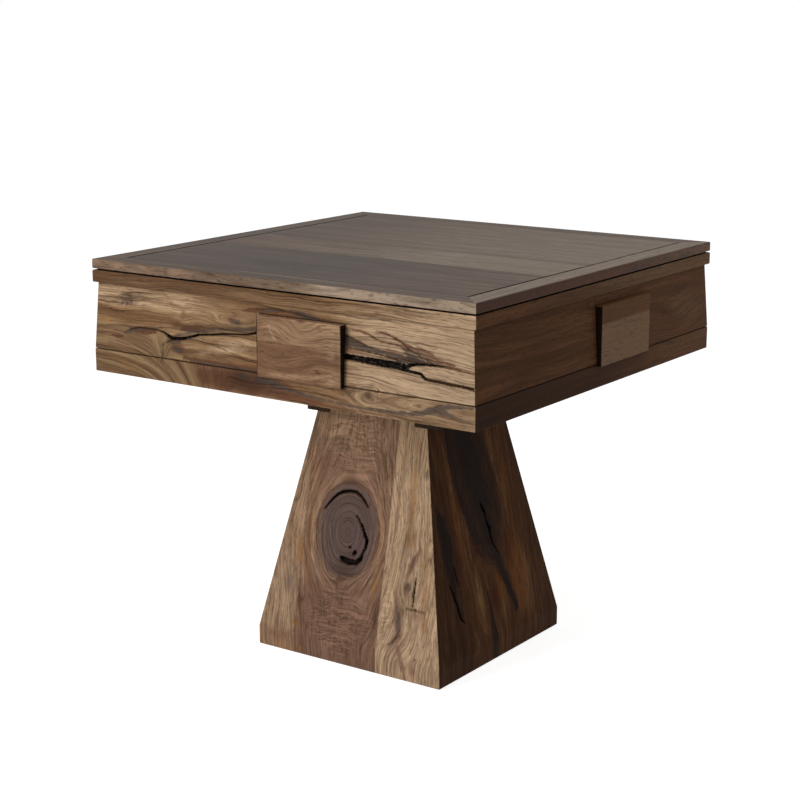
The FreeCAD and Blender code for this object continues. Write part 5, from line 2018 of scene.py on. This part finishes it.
@dataclass
class Lid:
    """Lift-off top: a mitred frame round three planks, with cleats underneath."""

    shop: Workshop
    half: float = 415.0
    inner: float = 369.0
    bottom: float = 740.0
    top: float = 760.0
    rebate_height: float = 2.7
    rebate_depth: float = 7.0
    arris: float = 1.6
    end_gap: float = 1.2
    groove_width: float = 3.0
    groove_depth: float = 4.0
    plank_ease: float = 0.35
    front_seam: float = -117.0
    rear_seam: float = 19.0

    def frame_board(self, side: Side) -> None:
        """Builds one mitred frame board; a dark groove marks where plank ends meet it.

        Args:
            side: Side of the lid.
        """
        name = f"lid_frame_{side.value}"
        low = self.bottom + self.rebate_height
        rows = spread(low, self.top, 3.0)
        grooved = side in (Side.RIGHT, Side.LEFT)
        rim = self.inner + self.groove_width * grooved
        # The board shows its flat top, which has rows of its own to carry the figure.
        inner = [(self.top, r) for r in np.arange(self.half - 6.0, rim + 1.5, -4.0)]
        if grooved:
            floor = self.top - self.groove_depth
            inner += [(self.top, rim + 0.4), (self.top, rim), (floor, rim), (floor, self.inner)]
        else:
            inner.append((self.top, self.inner))
        inner += [(self.bottom, self.inner), (self.bottom, self.half - self.rebate_depth - 1.0),
                  (self.bottom, self.half - self.rebate_depth),
                  (low, self.half - self.rebate_depth)]
        section = Section.board(rows, lambda v: self.half, inner, self.arris)
        columns = spread(-self.half, self.half, 5.0) / self.half
        shape = mitred_loft(section, columns, self.arris, HAIR_GAP, PLAIN)
        # Painted shade: the root of the rebate and the groove at the plank ends are painted near
        # black.
        self.shop.make(Board(name, "lid", LID_WALNUT, side, LID_FIGURES[name], flat=True),
                       shape,
                       # The corner and the outer top edge are rubbed light, partly as a painted
                       # highlight.
                       [Edge(Axis.CORNER), Edge(Axis.REACH, self.half, reach=2.4, amount=0.5)],
                       lambda out, v: (abs(out - self.half + self.rebate_depth) < 0.5) & (v < low)
                       | grooved & (out < rim + 0.1) & (v > self.top - self.groove_depth - 0.1))

    def plank(self, name: str, near: float, far: float) -> None:
        """Builds one plank of the middle.

        Args:
            name: Name of its CAD node.
            near: Place of its front edge.
            far: Place of its rear edge.
        """
        inside, outside = SEAM_GAP - far, -near - SEAM_GAP
        outline = [(self.bottom, inside), (self.bottom, outside),
                   (self.top, outside), (self.top, inside)]
        end = self.inner - self.end_gap
        columns = [-end, *np.linspace(0.6 - end, end - 0.6, 119), end]
        # Each plank end is painted near black as shade where it meets the frame's groove.
        self.shop.make(Board(name, "lid", LID_WALNUT, Side.FRONT, LID_FIGURES[name], flat=True),
                       prism(outline, columns, step=7.0),
                       [Edge(Axis.U, place, CRACK_AND_GAP_SHADE, reach=0.9, amount=1.6) for place in (-end, end)],
                       bevel=self.plank_ease)

    def build(self) -> None:
        """Builds frame and planks, and dresses the cleats."""
        for side in Side:
            self.frame_board(side)
        self.plank("lid_plank_front", -self.inner, self.front_seam)
        self.plank("lid_plank_middle", self.front_seam, self.rear_seam)
        self.plank("lid_plank_rear", self.rear_seam, self.inner)
        self.shop.dress(BIRCH, Source.ALONG_X, "lid_cleats")
        self.shop.dress(ZINC_STEEL, None, "lid_cleat_screws")


# -------- Studio --------
@dataclass(frozen=True)
class Softbox:
    """Square soft lamp: degrees from the front and up, metres away and across, and watts."""

    name: str
    azimuth: float
    elevation: float
    distance: float
    size: float
    watts: float


@dataclass
class Studio:
    """Pale floor, soft light from the left front, and the camera."""

    azimuth: float = 35.222
    elevation: float = 13.077
    roll: float = -0.124
    distance: float = 3.4474
    look_at: tuple[float, float, float] = (-0.02365, 0.0, 0.46904)
    lens: float = 81.144
    sensor: float = 36.0
    sky: str = "F4F6FA"
    sky_strength: float = 0.26
    floor_glow: float = 0.86
    floor_radius: float = 24.0
    key: Softbox = Softbox("key_softbox", azimuth=-24.0, elevation=22.0, distance=3.6, size=1.5,
                           watts=92.0)
    fill: Softbox = Softbox("fill_softbox", azimuth=118.0, elevation=30.0, distance=4.5, size=2.5,
                            watts=7.0)
    lamp_aim: float = 0.45

    def seen_directly(self, tree: Tree) -> Socket:
        """Tells rays from the camera, off gloss or through glass from the rest.

        Args:
            tree: The node tree.

        Returns:
            One for such a ray and zero for any other.
        """
        seen = add_node(tree, "ShaderNodeLightPath", output="Is Camera Ray")
        rays = seen.node.outputs
        for other in ("Is Glossy Ray", "Is Transmission Ray"):
            seen = add_node(tree, MATH, {0: seen, 1: rays[other]}, operation="MAXIMUM")
        return seen

    def world(self) -> None:
        """Builds a world that shows white and lights softly."""
        world = bpy.data.worlds.new("studio")
        bpy.context.scene.world = world
        world.use_nodes = True
        tree = world.node_tree
        tree.nodes.clear()
        seen = self.seen_directly(tree)
        colour = add_node(tree, MIX, {0: seen, 6: linear(self.sky), 7: (1.0, 1.0, 1.0, 1.0)}, 2,
                          data_type="RGBA")
        level = add_node(tree, RANGE, {"Value": seen, "To Min": self.sky_strength})
        back = add_node(tree, "ShaderNodeBackground", {"Color": colour, "Strength": level})
        add_node(tree, "ShaderNodeOutputWorld", {"Surface": back})

    def floor(self) -> None:
        """Lays a large pale floor that keeps the table's soft shadow."""
        work = bmesh.new()
        bmesh.ops.create_circle(work, cap_ends=True, cap_tris=True, segments=96,
                                 radius=self.floor_radius)
        mesh = bpy.data.meshes.new("studio_floor")
        work.to_mesh(mesh)
        work.free()
        floor = stand("studio_floor", mesh)
        material = new_material("studio_floor")
        tree = material.node_tree
        place = add_node(tree, PLACE, output="Object")
        mottle = add_node(tree, NOISE, {"Vector": place, "Scale": 3.0})
        colour = add_node(tree, MIX, {0: mottle, 6: linear("D8D8D7"), 7: linear("DCDCDB")}, 2,
                          data_type="RGBA")
        matt = add_node(tree, "ShaderNodeBsdfDiffuse", {"Color": colour})
        strength = add_node(tree, MATH, {0: self.seen_directly(tree), 1: self.floor_glow},
                            operation="MULTIPLY")
        glow = add_node(tree, "ShaderNodeEmission", {"Strength": strength})
        both = add_node(tree, "ShaderNodeAddShader", {0: matt, 1: glow})
        add_node(tree, OUTPUT, {"Surface": both})
        mesh.materials.append(material)

    def towards(self, azimuth: float, elevation: float) -> Vector:
        """Gives the direction from the table to a place, by degrees from the front and up."""
        a, e = math.radians(azimuth), math.radians(elevation)
        return Vector((math.sin(a) * math.cos(e), -math.cos(a) * math.cos(e), math.sin(e)))

    def lamp(self, box: Softbox) -> None:
        """Hangs one softbox that faces the table.

        Args:
            box: Its place, size and power.
        """
        light = bpy.data.lights.new(box.name, "AREA")
        light.shape = "SQUARE"
        light.size = box.size
        light.energy = box.watts
        lamp = stand(box.name, light)
        back = self.towards(box.azimuth, box.elevation)
        lamp.location = Vector((0.0, 0.0, self.lamp_aim)) + back * box.distance
        lamp.rotation_mode = "QUATERNION"
        lamp.rotation_quaternion = (-back).to_track_quat("-Z", "Y")
        lamp.visible_glossy = False

    def camera(self) -> None:
        """Sets up the camera at its fitted place."""
        data = bpy.data.cameras.new("camera")
        data.lens = self.lens
        data.sensor_width = self.sensor
        data.clip_start, data.clip_end = 0.05, 100.0
        camera = stand("camera", data)
        back = self.towards(self.azimuth, self.elevation)
        turn = math.radians(self.azimuth)
        right = Vector((math.cos(turn), math.sin(turn), 0.0))
        up = back.cross(right)
        c, s = math.cos(math.radians(self.roll)), math.sin(math.radians(self.roll))
        axes = Matrix((right * c + up * s, up * c - right * s, back)).transposed()
        camera.rotation_mode = "QUATERNION"
        camera.rotation_quaternion = axes.to_quaternion()
        camera.location = Vector(self.look_at) + back * self.distance
        bpy.context.scene.camera = camera

    def build(self) -> None:
        """Builds world, floor, lamps and camera."""
        self.world()
        self.floor()
        self.lamp(self.key)
        self.lamp(self.fill)
        self.camera()
        bpy.context.scene.view_settings.view_transform = "Standard"
        LOG.info("studio: world, floor, two softboxes and camera")


def main() -> None:
    """Builds every sub-assembly in order."""
    logging.basicConfig(level=logging.INFO, format="%(name)s: %(message)s")
    shop = Workshop(dict(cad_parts), {})
    Pedestal(shop).build()
    Carcase(shop).build()
    for side in Side:
        Drawer(shop, side).build()
    Lid(shop).build()
    Studio().build()


if __name__ == "__main__":
    main()
